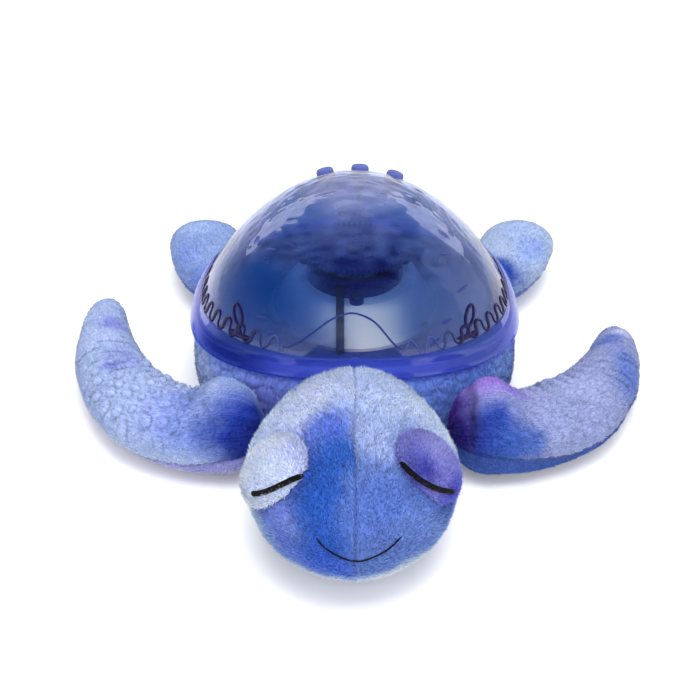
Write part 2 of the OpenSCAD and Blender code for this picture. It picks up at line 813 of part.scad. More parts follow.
// Cup that holds the light, with ears for its screws
module lamp_tower() {
    color("navy")
    placed()
        difference() {
            union() {
                translate([0, lamp_y, tower_z])
                    cylinder(r = tower_r, h = tower_h);
                for (a = tower_screw_angles)
                    translate(concat(lamp_spot(ear_ring, a), tower_z))
                        cylinder(r = ear_r, h = ear_t);
            }
            translate([0, lamp_y, tower_z + tower_floor])
                cylinder(r = tower_r - tower_wall, h = tower_h);
            for (a = tower_screw_angles)
                translate(concat(lamp_spot(ear_ring, a), tower_z - eps))
                    cylinder(r = screw_r + pass_gap, h = ear_t + 2 * eps);
            translate([sleeve_x, tower_face - 6, tower_z + 5.6])
                rotate([-90, 0, 0])
                    cylinder(r = sleeve_r + sleeve_gap, h = 12);
        }
}

// Three-armed spider in the tower's mouth, with the pin that the disc turns on
module disc_spider() {
    arm_w = 3;
    color("gray")
    placed()
        translate([0, lamp_y, tower_top - spider_t]) {
            linear_extrude(spider_t) {
                ring_2d(tower_r - tower_wall - soft_gap, tower_r - 5);
                circle(4);
                for (a = [90, 210, 330])
                    rotate(a)
                        translate([0, -arm_w / 2])
                            square([tower_r - 3.4, arm_w]);
            }
            cylinder(r = pin_r + 1.5, h = spider_t + disc_lift - run_gap);
            cylinder(r = pin_r, h = spider_t + disc_lift + disc_t + run_gap + retainer_t + 0.6);
        }
}

// Clear disc with a toothed rim and low ripples moulded round its middle
module ripple_disc() {
    rim_in = gear_module * disc_teeth / 2 - 3.4;
    color("lightsteelblue", 0.7)
    placed()
        translate([0, lamp_y, disc_z])
            difference() {
                union() {
                    linear_extrude(disc_t)
                        difference() {
                            polygon(gear_points(disc_teeth));
                            circle(rim_in);
                        }
                    cylinder(r = rim_in + eps, h = film_t);
                    for (r = [7 : 4.5 : rim_in - 1.5])
                        rotate_extrude()
                            translate([r, film_t])
                                circle(0.9);
                    cylinder(r = 4, h = disc_t);
                }
                translate([0, 0, -eps])
                    cylinder(r = pin_r + shaft_gap, h = disc_t + 2 * eps);
                translate([0, 0, -2])
                    cylinder(r = rim_in, h = 2);
            }
}

module disc_retainer() {
    color("silver")
    placed()
        translate([0, lamp_y, disc_z + disc_t + run_gap])
            difference() {
                cylinder(r = pin_r + 1.9, h = retainer_t);
                translate([0, 0, -eps])
                    cylinder(r = pin_r, h = retainer_t + 2 * eps);
            }
}

module drive_pinion() {
    color("gainsboro")
    placed()
        translate([0, motor_y, disc_z])
            difference() {
                rotate(-90 + (pinion_teeth % 2 == 0 ? 180 / pinion_teeth : 0) + pinion_phase)
                    linear_extrude(pinion_t)
                        polygon(gear_points(pinion_teeth));
                translate([0, 0, -eps])
                    cylinder(r = shaft_r, h = pinion_t + 2 * eps);
            }
}

// Turns the pinion so that a gap faces the disc tooth, or the other way round
disc_tooth_at_back = disc_teeth % 4 == 0;
pinion_phase = disc_tooth_at_back ? 0 : 180 / pinion_teeth;

module motor_shaft() {
    color("silver")
    placed()
        translate([0, motor_y, motor_top - shaft_in])
            cylinder(r = shaft_r, h = disc_z + pinion_t + 0.4 - motor_top + shaft_in);
}

module gear_motor() {
    color("silver")
    placed()
        difference() {
            union() {
                translate([0, motor_y, motor_z])
                    cylinder(r = motor_r, h = motor_top - 1 - motor_z);
                translate([0, motor_y, motor_top - 1 - eps])
                    cylinder(r = 3, h = 1 + eps);
            }
            translate([0, motor_y, motor_top - shaft_in - run_gap])
                cylinder(r = shaft_r + shaft_gap, h = shaft_in + 2);
        }
}

// Cup that the motor stands in, screwed to the deck
module motor_bracket() {
    color("white")
    placed()
        translate([0, motor_y, deck_top])
            difference() {
                union() {
                    translate([-bracket_half_w, -motor_r, 0])
                        cube([2 * bracket_half_w, 2 * motor_r, foot_t]);
                    cylinder(r = motor_r + motor_cup, h = bracket_h + 4);
                }
                translate([0, 0, bracket_h])
                    cylinder(r = motor_r + thread_gap, h = 8);
                for (x = [-motor_screw_x, motor_screw_x])
                    translate([x, 0, -eps]) {
                        cylinder(r = screw_r + pass_gap, h = foot_t + 1);
                        translate([0, 0, foot_t + eps])
                            cylinder(r = head_r + cup_gap, h = bracket_h + 4);
                    }
            }
}

module led_board() {
    color("seagreen")
    placed()
        translate([0, lamp_y, tower_z + tower_floor])
            cylinder(r = led_board_r, h = board_t);
}

// Five lamps on the board, one in the middle
module leds() {
    ring = led_board_r * 0.55;
    seat = tower_z + tower_floor + board_t;
    color("white")
    placed()
        for (i = [0 : 4])
            translate(concat(i == 0 ? [0, lamp_y] : lamp_spot(ring, 90 * i - 45), seat)) {
                cylinder(r = 2.9, h = 1);
                cylinder(r = 2.5, h = 1.4);
                translate([0, 0, 1.4])
                    intersection() {
                        sphere(r = 2.5);
                        cylinder(r = 3, h = 3);
                    }
            }
}

// Electronics

module main_board() {
    color("darkgreen")
    placed()
        difference() {
            translate([-board_half_w, board_front, board_z])
                cube([2 * board_half_w, board_l, board_t]);
            for (p = board_spots)
                translate(concat(p, board_z - eps))
                    cylinder(r = screw_r + pass_gap, h = board_t + 2 * eps);
        }
}

// Chips, capacitors and sockets on the board
chip_l = 16;
chip_w = 10;
chip_h = 1.8;
chip_gap = 4;
cap_r = 3;
cap_h = 8;
module board_components() {
    top = board_top;
    color("black")
    placed() {
        for (x = [sleeve_x, speaker_lead_x, cell_lead_x])
            translate([x - socket_w / 2, board_front + socket_in, top])
                cube([socket_w, socket_d, socket_h]);
        for (y = [chip_l, 2 * chip_l + chip_gap])
            translate([-chip_l / 2, board_front + y, top])
                cube([chip_l, chip_w, chip_h]);
        for (side = [-1, 1], i = [0, 1])
            translate([side * (board_half_w / 2 + i * 3 * cap_r), board_front + board_l / 2 - cap_r, top])
                cylinder(r = cap_r, h = cap_h);
        translate([button_lead_x - socket_w / 2, board_front + board_l - socket_in - socket_d, top])
            cube([socket_w, socket_d, socket_h]);
        translate([-button_lead_x - socket_w / 2, board_front + board_l - socket_in - socket_d, top])
            cube([socket_w, socket_d, socket_h]);
    }
}

module speaker_frame() {
    inner = speaker_r - 2;
    color("gray")
    placed()
        translate([0, -speaker_y, floor_top])
            rotate_extrude()
                polygon([[inner, 0], [speaker_r, 0], [speaker_r, speaker_flange_t],
                         [inner + 1, speaker_flange_t], [9, speaker_depth], [3.2, speaker_depth],
                         [3.2, speaker_depth - 1], [8.4, speaker_depth - 1], [inner, 1]]);
}

module speaker_cone() {
    rim = speaker_r - 2;
    color("dimgray")
    placed()
        translate([0, -speaker_y, floor_top])
            rotate_extrude()
                polygon([[rim, 0.2], [rim, 0.8], [rim - 1.4, 1.2], [7, 5.6], [0, 4.2], [0, 3.6], [6.8, 5],
                         [rim - 2, 0.8]]);
}

module speaker_magnet() {
    color("silver")
    placed()
        translate([0, -speaker_y, floor_top + speaker_depth])
            difference() {
                cylinder(r = 10, h = magnet_h);
                translate([0, 0, -eps])
                    cylinder(r = 3, h = magnet_h - 1.5);
            }
}

module battery_cells() {
    color("darkorange")
    placed()
        for (i = [-1, 0, 1])
            cell_place(i) {
                translate([0, 0, spring_l])
                    cylinder(d = cell_d, h = cell_l - 1);
                translate([0, 0, spring_l + cell_l - 1 - eps])
                    cylinder(r = 2.75, h = 1 + eps);
            }
}

// Frame of one cell, z along its axis from the spring's contact; neighbours face opposite ways
module cell_place(i) {
    flip = i == 0 ? -1 : 1;
    translate([-flip * (bay_half_l - contact_t), bay_y + i * cell_pitch, cell_z])
        rotate([0, flip * 90, 0])
            children();
}

// Conical coil springs behind the cells
module battery_springs() {
    turns = 3;
    wire = 0.45;
    steps = 24;
    color("silver")
    placed()
        for (i = [-1, 0, 1])
            cell_place(i)
                tube([for (s = [0 : steps])
                         let (u = s / steps, r = 5 - 2 * u)
                         concat(polar(r, 360 * turns * u), wire + (spring_l - 2 * wire) * u)], wire, 6);
}

module battery_contacts() {
    color("silver")
    placed()
        for (i = [-1, 0, 1], end = [-1, 1])
            translate([end * (bay_half_l - contact_t / 2), bay_y + i * cell_pitch, cell_z])
                cube([contact_t, cell_d - 3, cell_d - 3], center = true);
}

module battery_door() {
    color("ghostwhite")
    placed()
        difference() {
            translate([0, 0, belly_t])
                linear_extrude(door_t)
                    door_plan(0);
            translate([0, door_screw_y, belly_t - eps]) {
                cylinder(r = screw_r + pass_gap, h = tray_wall);
                cylinder(r = head_r + cup_gap, h = door_head_h + 2 * eps);
            }
            for (i = [-2 : 2])
                translate([-12, bay_y - door_half_y + 8 + i * 3 - 1, belly_t - eps])
                    cube([24, 1.2, 0.6]);
        }
}

module door_screw() {
    color("silver")
    placed()
        translate([0, door_screw_y, belly_t + door_head_h])
            screw(8, screw_r, head_r, door_head_h);
}

module wire_sleeve() {
    color("black")
    placed()
        tube(sleeve_path, sleeve_r);
}

// Leads of the buttons, the speaker and the cells
lead_r = 0.9;
lead_hole = [0, rim_rear - ledge_w - 12];
strip_end = [button_x, button_y, dome_height(button_x, button_y)]
            - (bracket_depth + bracket_t + lead_r) * dome_normal(button_x, button_y);
button_lead = [strip_end, strip_end + [0, 8, -7.5], strip_end + [0, 20, -14], [2, 59, disc_z + 4],
               [1, lead_hole[1] - 4, disc_z - 10], [0, lead_hole[1], deck_top + 8],
               [0, lead_hole[1], flange_top - 2], [2, lead_hole[1] - 4, board_top + 8],
               [button_lead_x, board_front + board_l + 4, socket_z],
               [button_lead_x, board_front + board_l - socket_in, socket_z]];
speaker_lead = [[11, -speaker_y - 6, floor_top + speaker_depth + 3], [16, -speaker_y - 8, board_z - 10],
                [18, board_front - 12, board_z - 2], [speaker_lead_x, board_front - 5, socket_z],
                [speaker_lead_x, board_front + socket_in, socket_z]];
cell_lead = [[bay_half_l - 8, bay_y - bay_half_w - bay_wall - 1, bay_top - 3],
             [28, board_front - 1, bay_top + 3], [27, board_front - 7, board_z],
             [cell_lead_x, board_front - 5, socket_z], [cell_lead_x, board_front + socket_in, socket_z]];
module inner_leads() {
    color("firebrick")
    placed()
        for (path = [button_lead, speaker_lead, cell_lead])
            tube(path, lead_r);
}

// Screws

module dome_screws() {
    color("silver")
    placed()
        for (i = [0 : shell_screws - 1])
            translate(concat(shell_screw_at(i), flange_bottom + head_h + run_gap))
                screw(flange_t - head_h - run_gap + ledge_t + deck_bite - 2 * bite_spare);
}

module deck_screws() {
    color("silver")
    placed()
        for (p = post_spots)
            translate(concat(p, deck_top))
                screw_down(deck_t + post_bite - bite_spare);
}

module lamp_screws() {
    color("silver")
    placed()
        for (a = lamp_screw_angles)
            translate(concat(lamp_spot(lamp_ring, a), deck_top + foot_t))
                screw_down(foot_t + deck_t + deck_bite - bite_spare);
}

module tower_screws() {
    color("silver")
    placed()
        for (a = tower_screw_angles)
            translate(concat(lamp_spot(ear_ring, a), tower_z + ear_t))
                screw_down(ear_t + lamp_bite - 2 * bite_spare);
}

module board_screws() {
    color("silver")
    placed()
        for (p = board_spots)
            translate(concat(p, board_top))
                screw_down(board_t + post_bite - bite_spare);
}

module motor_screws() {
    color("silver")
    placed()
        for (x = [-motor_screw_x, motor_screw_x])
            translate([x, motor_y, deck_top + foot_t])
                screw_down(foot_t + deck_t + deck_bite - bite_spare);
}

module speaker_screws() {
    color("silver")
    placed()
        for (a = speaker_angles)
            translate(concat(speaker_spot(a), floor_top + speaker_flange_t))
                rotate([180, 0, 0])
                    screw(speaker_flange_t + tray_wall - 0.8, screw_r, 3.9);
}

// Plush

module body_form() {
    loft(body_rings);
}

// Stuffed body round the tray, open under the battery door, with pockets for the flippers' stumps
module body_plush() {
    color("mediumslateblue")
    placed()
        difference() {
            body_form();
            translate([0, 0, belly_t - soft_gap])
                linear_extrude(flange_top)
                    tray_plan(soft_gap);
            translate([0, 0, -1])
                linear_extrude(belly_t + 2)
                    door_plan(3);
            for (f = [front_left, front_right])
                translate(root_of(f))
                    sphere(r = front_root_r + stump_gap);
            for (f = [rear_left, rear_right])
                translate(root_of(f))
                    sphere(r = rear_root_r + stump_gap);
        }
}

module head_form() {
    loft(head_rings);
}

module head_plush() {
    color("cornflowerblue")
    placed()
        difference() {
            head_form();
            body_form();
        }
}

// A padded eyelid on the side of the head: its place from the head's middle, its facing and its lash line
eyelid_at = [38, -31, 24.5];
eyelid_facing = unit([0.63, -0.31, 0.71]);
eyelid_line = unit([-0.73, -0.31, 0.61]);
eyelid_half_l = 20;
eyelid_half_w = 18;
eyelid_puff = 7;
eyelid_sink = 3;
function eyelid_point(side, lat, lon) =
    let (across = cross(eyelid_facing, eyelid_line),
         p = eyelid_at - eyelid_sink * eyelid_facing + eyelid_half_l * cos(lat) * cos(lon) * eyelid_line
             + eyelid_half_w * cos(lat) * sin(lon) * across + eyelid_puff * sin(lat) * eyelid_facing)
    head_mid + [side * p[0], p[1], p[2]];
module eyelid(side) {
    placed()
        difference() {
            loft([for (i = [1 : 7])
                     [for (j = [0 : 19]) eyelid_point(side, 22.5 * i - 90, side * 18 * j)]]);
            head_form();
        }
}

module eyelid_left() {
    color("lavender")
        eyelid(-1);
}

module eyelid_right() {
    color("mediumpurple")
        eyelid(1);
}

// A flipper: its ball-shaped stump and its swept blade
module flipper(f, root_r) {
    placed()
        loft(flipper_rings(f, root_r));
}

module front_flipper_left() {
    color("cornflowerblue")
        flipper(front_left, front_root_r);
}

module front_flipper_right() {
    color("mediumpurple")
        flipper(front_right, front_root_r);
}

module rear_flipper_left() {
    color("cornflowerblue")
        flipper(rear_left, rear_root_r);
}

module rear_flipper_right() {
    color("cornflowerblue")
        flipper(rear_right, rear_root_r);
}

dome_shell();
base_tray();
deck_plate();
lamp_base();
lamp_tower();
disc_spider();
ripple_disc();
disc_retainer();
drive_pinion();
motor_shaft();
gear_motor();
motor_bracket();
led_board();
leds();
main_board();
board_components();
speaker_frame();
speaker_cone();
speaker_magnet();
battery_cells();
battery_springs();
battery_contacts();
battery_door();
door_screw();
button_left();
button_centre();
button_right();
button_bracket();
tact_switches();
wire_sleeve();
inner_leads();
dome_screws();
deck_screws();
lamp_screws();
tower_screws();
board_screws();
motor_screws();
speaker_screws();
bracket_screws();
body_plush();
head_plush();
eyelid_left();
eyelid_right();
front_flipper_left();
front_flipper_right();
rear_flipper_left();
rear_flipper_right();
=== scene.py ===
import json
import math

import bpy
import numpy as np
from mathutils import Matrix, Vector
from mathutils.bvhtree import BVHTree

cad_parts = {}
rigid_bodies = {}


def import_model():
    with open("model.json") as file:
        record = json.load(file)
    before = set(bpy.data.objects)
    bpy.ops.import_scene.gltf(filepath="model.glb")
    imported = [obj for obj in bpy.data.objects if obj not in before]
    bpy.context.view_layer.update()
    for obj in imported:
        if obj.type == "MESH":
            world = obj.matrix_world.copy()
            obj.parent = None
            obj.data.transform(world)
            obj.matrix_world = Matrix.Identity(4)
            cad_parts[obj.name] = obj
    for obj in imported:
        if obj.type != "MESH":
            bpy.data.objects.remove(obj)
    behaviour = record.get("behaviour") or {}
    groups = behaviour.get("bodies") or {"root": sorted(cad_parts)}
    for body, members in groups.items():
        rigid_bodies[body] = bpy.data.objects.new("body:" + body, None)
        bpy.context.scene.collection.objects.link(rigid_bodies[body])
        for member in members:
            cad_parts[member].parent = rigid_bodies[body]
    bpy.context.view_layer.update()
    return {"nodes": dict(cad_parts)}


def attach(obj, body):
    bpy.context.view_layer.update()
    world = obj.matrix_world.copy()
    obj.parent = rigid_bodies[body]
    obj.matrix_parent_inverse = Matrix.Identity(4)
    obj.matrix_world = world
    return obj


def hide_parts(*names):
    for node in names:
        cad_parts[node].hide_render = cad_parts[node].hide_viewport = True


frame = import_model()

nodes = frame["nodes"]
scene = bpy.context.scene
shellAt = np.array([-2.0, 30.0, 0.0])  # mm, the shell's own axis, from which every place below is measured
print("turtle: frame loaded with", len(nodes), "solids")


# selecting and editing

def only(piece):
    if bpy.context.object and bpy.context.object.mode != "OBJECT":
        bpy.ops.object.mode_set(mode="OBJECT")
    bpy.ops.object.select_all(action="DESELECT")
    bpy.context.view_layer.objects.active = piece
    piece.select_set(True)


def openUp(piece):
    only(piece)
    bpy.ops.object.mode_set(mode="EDIT")
    bpy.ops.mesh.select_all(action="SELECT")


def close():
    bpy.ops.object.mode_set(mode="OBJECT")


def weld(piece, gap=0.00002):
    openUp(piece)
    bpy.ops.mesh.remove_doubles(threshold=gap)
    bpy.ops.mesh.normals_make_consistent(inside=False)
    close()


def applyAll(piece):
    only(piece)
    for modifier in list(piece.modifiers):
        bpy.ops.object.modifier_apply(modifier=modifier.name)


def smoothShade(piece, angle=None):
    only(piece)
    if angle is None:
        bpy.ops.object.shade_smooth()
    else:
        bpy.ops.object.shade_smooth_by_angle(angle=math.radians(angle))


# points in mm

def readPoints(piece):
    flat = np.empty(len(piece.data.vertices) * 3, np.float32)
    piece.data.vertices.foreach_get("co", flat)
    return flat.reshape(-1, 3).astype(float) * 1000 - shellAt


def writePoints(piece, points):
    piece.data.vertices.foreach_set("co", ((points + shellAt) / 1000).astype(np.float32).ravel())
    piece.data.update()


def readNormals(piece):
    flat = np.empty(len(piece.data.vertices) * 3, np.float32)
    piece.data.vertex_normals.foreach_get("vector", flat)
    return flat.reshape(-1, 3).astype(float)


def cleanCopy(name, node):
    mesh = nodes[node].data.copy()
    mesh.materials.clear()
    piece = bpy.data.objects.new(name, mesh)
    mesh.name = name
    scene.collection.objects.link(piece)
    weld(piece)
    return piece


def wrappedGrid(name, columns, rows, place):
    bpy.ops.object.select_all(action="DESELECT")
    bpy.ops.mesh.primitive_grid_add(x_subdivisions=columns, y_subdivisions=rows, size=2)
    piece = bpy.context.active_object
    piece.name = piece.data.name = name
    flat = (readPoints(piece) + shellAt) / 1000
    writePoints(piece, place((flat[:, 0] + 1) / 2, (flat[:, 1] + 1) / 2))
    return piece


def ease(low, high, value):
    t = np.clip((value - low) / (high - low), 0, 1)
    return t * t * (3 - 2 * t)


def unit(v):
    v = np.asarray(v, float)
    return v / np.linalg.norm(v)


def unitRows(v):
    return v / np.linalg.norm(v, axis=1)[:, None]


def runOf(path):
    # the length along a path up to each of its points
    return np.concatenate([[0], np.cumsum(np.linalg.norm(np.diff(path, axis=0), axis=1))])


def blend(first, second, share):
    # row by row from the first to the second
    share = share[:, None]
    return np.asarray(first) * (1 - share) + np.asarray(second) * share


def smoothRow(row, width):
    return np.convolve(np.pad(row, width // 2, mode="edge"), np.ones(width) / width, "valid")


# repeatable unevenness

def scatter(x, y, z, seed):
    h = (x * 73856093) ^ (y * 19349663) ^ (z * 83492791) ^ (seed * 2654435)
    h = (((h & 0xFFFFFFFF) ^ ((h & 0xFFFFFFFF) >> 13)) * 1274126177) & 0xFFFFFFFF
    h = ((h ^ (h >> 16)) * 1103515245) & 0xFFFFFFFF
    return ((h ^ (h >> 15)) & 0xFFFFFF) / 16777215.0


def softNoise(points, size, seed):
    p = points / size
    cell = np.floor(p).astype(np.int64)
    f = p - cell
    f = f * f * (3 - 2 * f)
    total = np.zeros(len(p))
    for dx in (0, 1):
        for dy in (0, 1):
            for dz in (0, 1):
                share = (np.abs(1 - dx - f[:, 0]) * np.abs(1 - dy - f[:, 1]) * np.abs(1 - dz - f[:, 2]))
                total += share * scatter(cell[:, 0] + dx, cell[:, 1] + dy, cell[:, 2] + dz, seed)
    return total * 2 - 1


def fuzzOn(points, seed, *layers):
    # unevenness in layers, each with a size and a height in mm
    return sum(softNoise(points, size, seed + k) * height for k, (size, height) in enumerate(layers))


def pebbles(a, b, seed, loose=0.36):
    # scattered cells: room to the nearest groove, a tone for each cell, distance and offset from its middle
    ia = np.floor(a).astype(np.int64)
    b = b + 0.5 * (ia % 2)
    ib = np.floor(b).astype(np.int64)
    first = np.full(len(a), 9.0)
    second = first.copy()
    tone = np.zeros(len(a))
    offset = np.zeros(len(a))
    for da in (-1, 0, 1):
        for db in (-2, -1, 0, 1, 2):
            ca = ia + da
            cb = ib + db
            shift = 0.5 * ((ia % 2) - (ca % 2))
            pa = ca + 0.5 + loose * (2 * scatter(ca, cb, 0 * ca, seed) - 1)
            pb = cb + 0.5 + shift + loose * (2 * scatter(ca, cb, 0 * ca, seed + 1) - 1)
            d = np.hypot(a - pa, b - pb)
            closer = d < first
            second = np.where(closer, first, np.minimum(second, d))
            tone = np.where(closer, scatter(ca, cb, 0 * ca, seed + 2), tone)
            offset = np.where(closer, a - pa, offset)
            first = np.where(closer, d, first)
    return second - first, tone, first, offset


# colours and attributes

luma = np.array([0.21, 0.72, 0.07])  # how bright red, green and blue look


def tint(r, g, b):
    # a colour as seen on screen, 0 to 255, in linear light
    c = np.array([r, g, b]) / 255
    return np.where(c <= 0.04045, c / 12.92, ((c + 0.055) / 1.055) ** 2.4)


def setDye(piece, colours, name="dye"):
    mesh = piece.data
    layer = mesh.attributes.get(name) or mesh.attributes.new(name, "FLOAT_COLOR", "POINT")
    full = np.ones((len(colours), 4), np.float32)
    full[:, :3] = np.clip(colours, 0, 1)
    layer.data.foreach_set("color", full.ravel())


def readDye(piece):
    flat = np.empty(len(piece.data.vertices) * 4, np.float32)
    piece.data.attributes["dye"].data.foreach_get("color", flat)
    return flat.reshape(-1, 4)[:, :3].astype(float)


def setPile(piece, along, across):
    mesh = piece.data
    layer = mesh.attributes.get("pile") or mesh.attributes.new("pile", "FLOAT_VECTOR", "POINT")
    flow = np.stack([along, across, 0 * along], 1).astype(np.float32)
    layer.data.foreach_set("vector", flow.ravel())


def tieDye(points, base, patches, seed, warp=7.0, strong=0.15):
    # soft patches of dye laid one over the other, with wandering edges
    wander = np.stack([softNoise(points, 24, seed + k) * warp + softNoise(points, 7, seed + 9 + k) * warp * 0.35
                       for k in range(3)], 1)
    p = points + wander
    dye = np.tile(tint(*base), (len(p), 1))
    for place, radii, colour, strength in patches:
        far = np.linalg.norm((p - np.array(place)) / np.array(radii), axis=1)
        dye = blend(dye, tint(*colour), strength * (1 - ease(0.3, 1.15, far)))
    grey = (dye @ luma)[:, None]
    vivid = 1 + strong * (1 - ease(0.06, 0.3, grey))
    return np.clip(grey + (dye - grey) * vivid, 0.001, 1)


# materials

def dress(tree, node, inputs):
    # each value is another node's output, which is linked, or a plain value
    for key, value in inputs.items():
        if hasattr(value, "links"):
            tree.links.new(value, node.inputs[key])
        else:
            node.inputs[key].default_value = value


def startMaterial(name):
    material = bpy.data.materials.new(name)
    material.use_nodes = True
    tree = material.node_tree
    shader = next(n for n in tree.nodes if n.type == "BSDF_PRINCIPLED")
    return material, tree, shader


def addNode(tree, kind, inputs=None, **values):
    made = tree.nodes.new(kind)
    for key, value in values.items():
        setattr(made, key, value)
    dress(tree, made, inputs or {})
    return made


def attribute(tree, name, output="Color"):
    return addNode(tree, "ShaderNodeAttribute", attribute_name=name).outputs[output]


def objectCoords(tree):
    return addNode(tree, "ShaderNodeTexCoord").outputs["Object"]


def mathNode(tree, operation, *inputs, **values):
    return addNode(tree, "ShaderNodeMath", dict(enumerate(inputs)), operation=operation, **values).outputs[0]


def mixShader(tree, share, first, second):
    return addNode(tree, "ShaderNodeMixShader", {0: share, 1: first, 2: second}).outputs[0]


def noiseNode(tree, vector, scale, detail=2.0, roughness=0.5):
    inputs = {"Vector": vector, "Scale": scale, "Detail": detail, "Roughness": roughness}
    return addNode(tree, "ShaderNodeTexNoise", inputs).outputs["Fac"]


def stretch(tree, vector, scale):
    return addNode(tree, "ShaderNodeMapping", {"Vector": vector, "Scale": scale}).outputs["Vector"]


def remap(tree, value, low, high, to=0.0, upto=1.0):
    inputs = {"Value": value, "From Min": low, "From Max": high, "To Min": to, "To Max": upto}
    return addNode(tree, "ShaderNodeMapRange", inputs).outputs["Result"]


def mixColour(tree, share, first, second, how="MIX"):
    made = addNode(tree, "ShaderNodeMix", data_type="RGBA", blend_type=how)
    places = {s.identifier: i for i, s in enumerate(made.inputs)}
    for socket, value in (("Factor_Float", share), ("A_Color", first), ("B_Color", second)):
        isColour = not hasattr(value, "links") and not isinstance(value, (int, float))
        dress(tree, made, {places[socket]: (*value, 1) if isColour else value})
    return next(s for s in made.outputs if s.identifier == "Result_Color")


def bumpFrom(tree, shader, height, strength, distance):
    bump = addNode(tree, "ShaderNodeBump", {"Height": height, "Strength": strength, "Distance": distance})
    dress(tree, shader, {"Normal": bump.outputs["Normal"]})


sheenTint = (*tint(222, 226, 250), 1)


def plushMaterial(name, look):
    material, tree, shader = startMaterial(name)
    dye = attribute(tree, "dye")
    pile = attribute(tree, "pile", "Vector")
    long, wide = look["strand"]
    strand = noiseNode(tree, stretch(tree, pile, (1 / long, 1 / wide, 1)), 1.0, 2.0, 0.6)
    tuft = noiseNode(tree, stretch(tree, pile, (0.4 / long, 0.3 / wide, 1)), 1.0, 2.0, 0.55)
    height = mathNode(tree, "MULTIPLY_ADD", strand, 0.6, remap(tree, tuft, 0.0, 1.0, 0.0, 0.4))
    # painted shade and painted highlight at the scale of the fibres: the dye darkened by the root colour, and
    # mixed towards the pale tip colour where the strand pattern is high
    deep = mixColour(tree, 1.0, dye, look["root"], "MULTIPLY")
    pale = mixColour(tree, look["tipHighlight"], dye, look["tip"])
    dress(tree, shader, {
        "Base Color": mixColour(tree, remap(tree, height, 0.33, 0.66), deep, pale),
        "Roughness": 0.92, "Specular IOR Level": 0.2,
        "Sheen Weight": look["sheen"], "Sheen Roughness": 0.45, "Sheen Tint": sheenTint,
    })
    bumpFrom(tree, shader, height, look["nap"], 0.0006)
    return material


# camera and studio

studio = {
    "lens": 105, "sensor": 36, "lookAt": (-0.0046, 0.030, 0.025), "distance": 1.173, "tilt": 34,
    "sky": 0.84, "glow": (0.05, 0.4, 0.8, 0.1), "paper": 0.86, "grain": 0.01, "lift": 0.13,
    "key": (0.1, -0.5, 1.95), "keySize": 1.3, "keyPower": 38,
    "fill": (0.1, -1.9, 0.8), "fillSize": 1.8, "fillPower": 18,
    "softLeft": (-1.25, 1.2, 1.1), "softRight": (1.3, 1.15, 1.0), "softSize": 1.1, "softPower": 12,
    "card": (1.6, 0.15, 0.75), "cardSize": 1.3, "cardPower": 3.0,
}

tilt = math.radians(studio["tilt"])
cameraData = bpy.data.cameras.new("photoCamera")
cameraData.lens = studio["lens"]
cameraData.sensor_width = studio["sensor"]
cameraData.clip_start = 0.01
camera = bpy.data.objects.new("photoCamera", cameraData)
scene.collection.objects.link(camera)
gaze = Vector((0, math.cos(tilt), -math.sin(tilt)))
camera.location = Vector(studio["lookAt"]) - studio["distance"] * gaze
camera.rotation_euler = (math.pi / 2 - tilt, 0, 0)
scene.camera = camera


def softBox(name, place, size, power, aim=(0, 0.02, 0.06), inGloss=True, inDiffuse=True):
    data = bpy.data.lights.new(name, "AREA")
    data.shape = "SQUARE"
    data.size = size
    data.energy = power
    box = bpy.data.objects.new(name, data)
    scene.collection.objects.link(box)
    box.location = place
    box.rotation_euler = (Vector(aim) - Vector(place)).to_track_quat("-Z", "Y").to_euler()
    box.visible_glossy = inGloss
    box.visible_diffuse = inDiffuse


softBox("keyLight", studio["key"], studio["keySize"], studio["keyPower"], inGloss=False)
softBox("frontFill", studio["fill"], studio["fillSize"], studio["fillPower"], inGloss=False)
softBox("softLeft", studio["softLeft"], studio["softSize"], studio["softPower"], inDiffuse=False)
softBox("softRight", studio["softRight"], studio["softSize"], studio["softPower"], inDiffuse=False)
softBox("sideCard", studio["card"], studio["cardSize"], studio["cardPower"])

world = bpy.data.worlds.new("studioSky")
scene.world = world
world.use_nodes = True
skyTree = world.node_tree
skyWay = addNode(skyTree, "ShaderNodeTexCoord").outputs["Generated"]
skyHeight = addNode(skyTree, "ShaderNodeSeparateXYZ", {0: skyWay}).outputs["Z"]
skyGlow = remap(skyTree, skyHeight, *studio["glow"])
rays = addNode(skyTree, "ShaderNodeLightPath").outputs
straight = mathNode(skyTree, "MAXIMUM", rays["Is Camera Ray"], rays["Is Transmission Ray"])
skyMix = {0: rays["Is Glossy Ray"], 2: studio["sky"], 3: skyGlow}
shown = addNode(skyTree, "ShaderNodeMix", skyMix, data_type="FLOAT").outputs[0]
plain = addNode(skyTree, "ShaderNodeMix", {0: straight, 2: shown, 3: 1.0}, data_type="FLOAT").outputs[0]
dress(skyTree, skyTree.nodes["Background"], {"Strength": plain, "Color": (1, 1, 1, 1)})

# paper: one wide flat sheet, just under the turtle
bpy.ops.object.select_all(action="DESELECT")
bpy.ops.mesh.primitive_plane_add(size=8, location=(0, 0, -0.0004))
paper = bpy.context.active_object
paper.name = paper.data.name = "paperFloor"
bpy.ops.object.transform_apply(location=True, rotation=True, scale=True)
paperMaterial, paperTree, paperShader = startMaterial("paperWhite")
paperGrain = noiseNode(paperTree, objectCoords(paperTree), 900.0, 2.0)
paperShades = [(studio["paper"] + k * studio["grain"],) * 3 for k in (-1, 1)]
rays = addNode(paperTree, "ShaderNodeLightPath").outputs
mirrored = mathNode(paperTree, "ADD", rays["Is Glossy Ray"], rays["Is Transmission Ray"], use_clamp=True)
looked = mathNode(paperTree, "ADD", rays["Is Camera Ray"], mirrored, use_clamp=True)
dress(paperTree, paperShader, {
    "Base Color": mixColour(paperTree, paperGrain, *paperShades), "Roughness": 0.95, "Specular IOR Level": 0.0,
    "Emission Strength": remap(paperTree, looked, 0.0, 1.0, 0.0, studio["lift"]),
    "Emission Color": (1, 1, 1, 1),
})
paper.data.materials.append(paperMaterial)
print("turtle: studio ready")


# stuffing

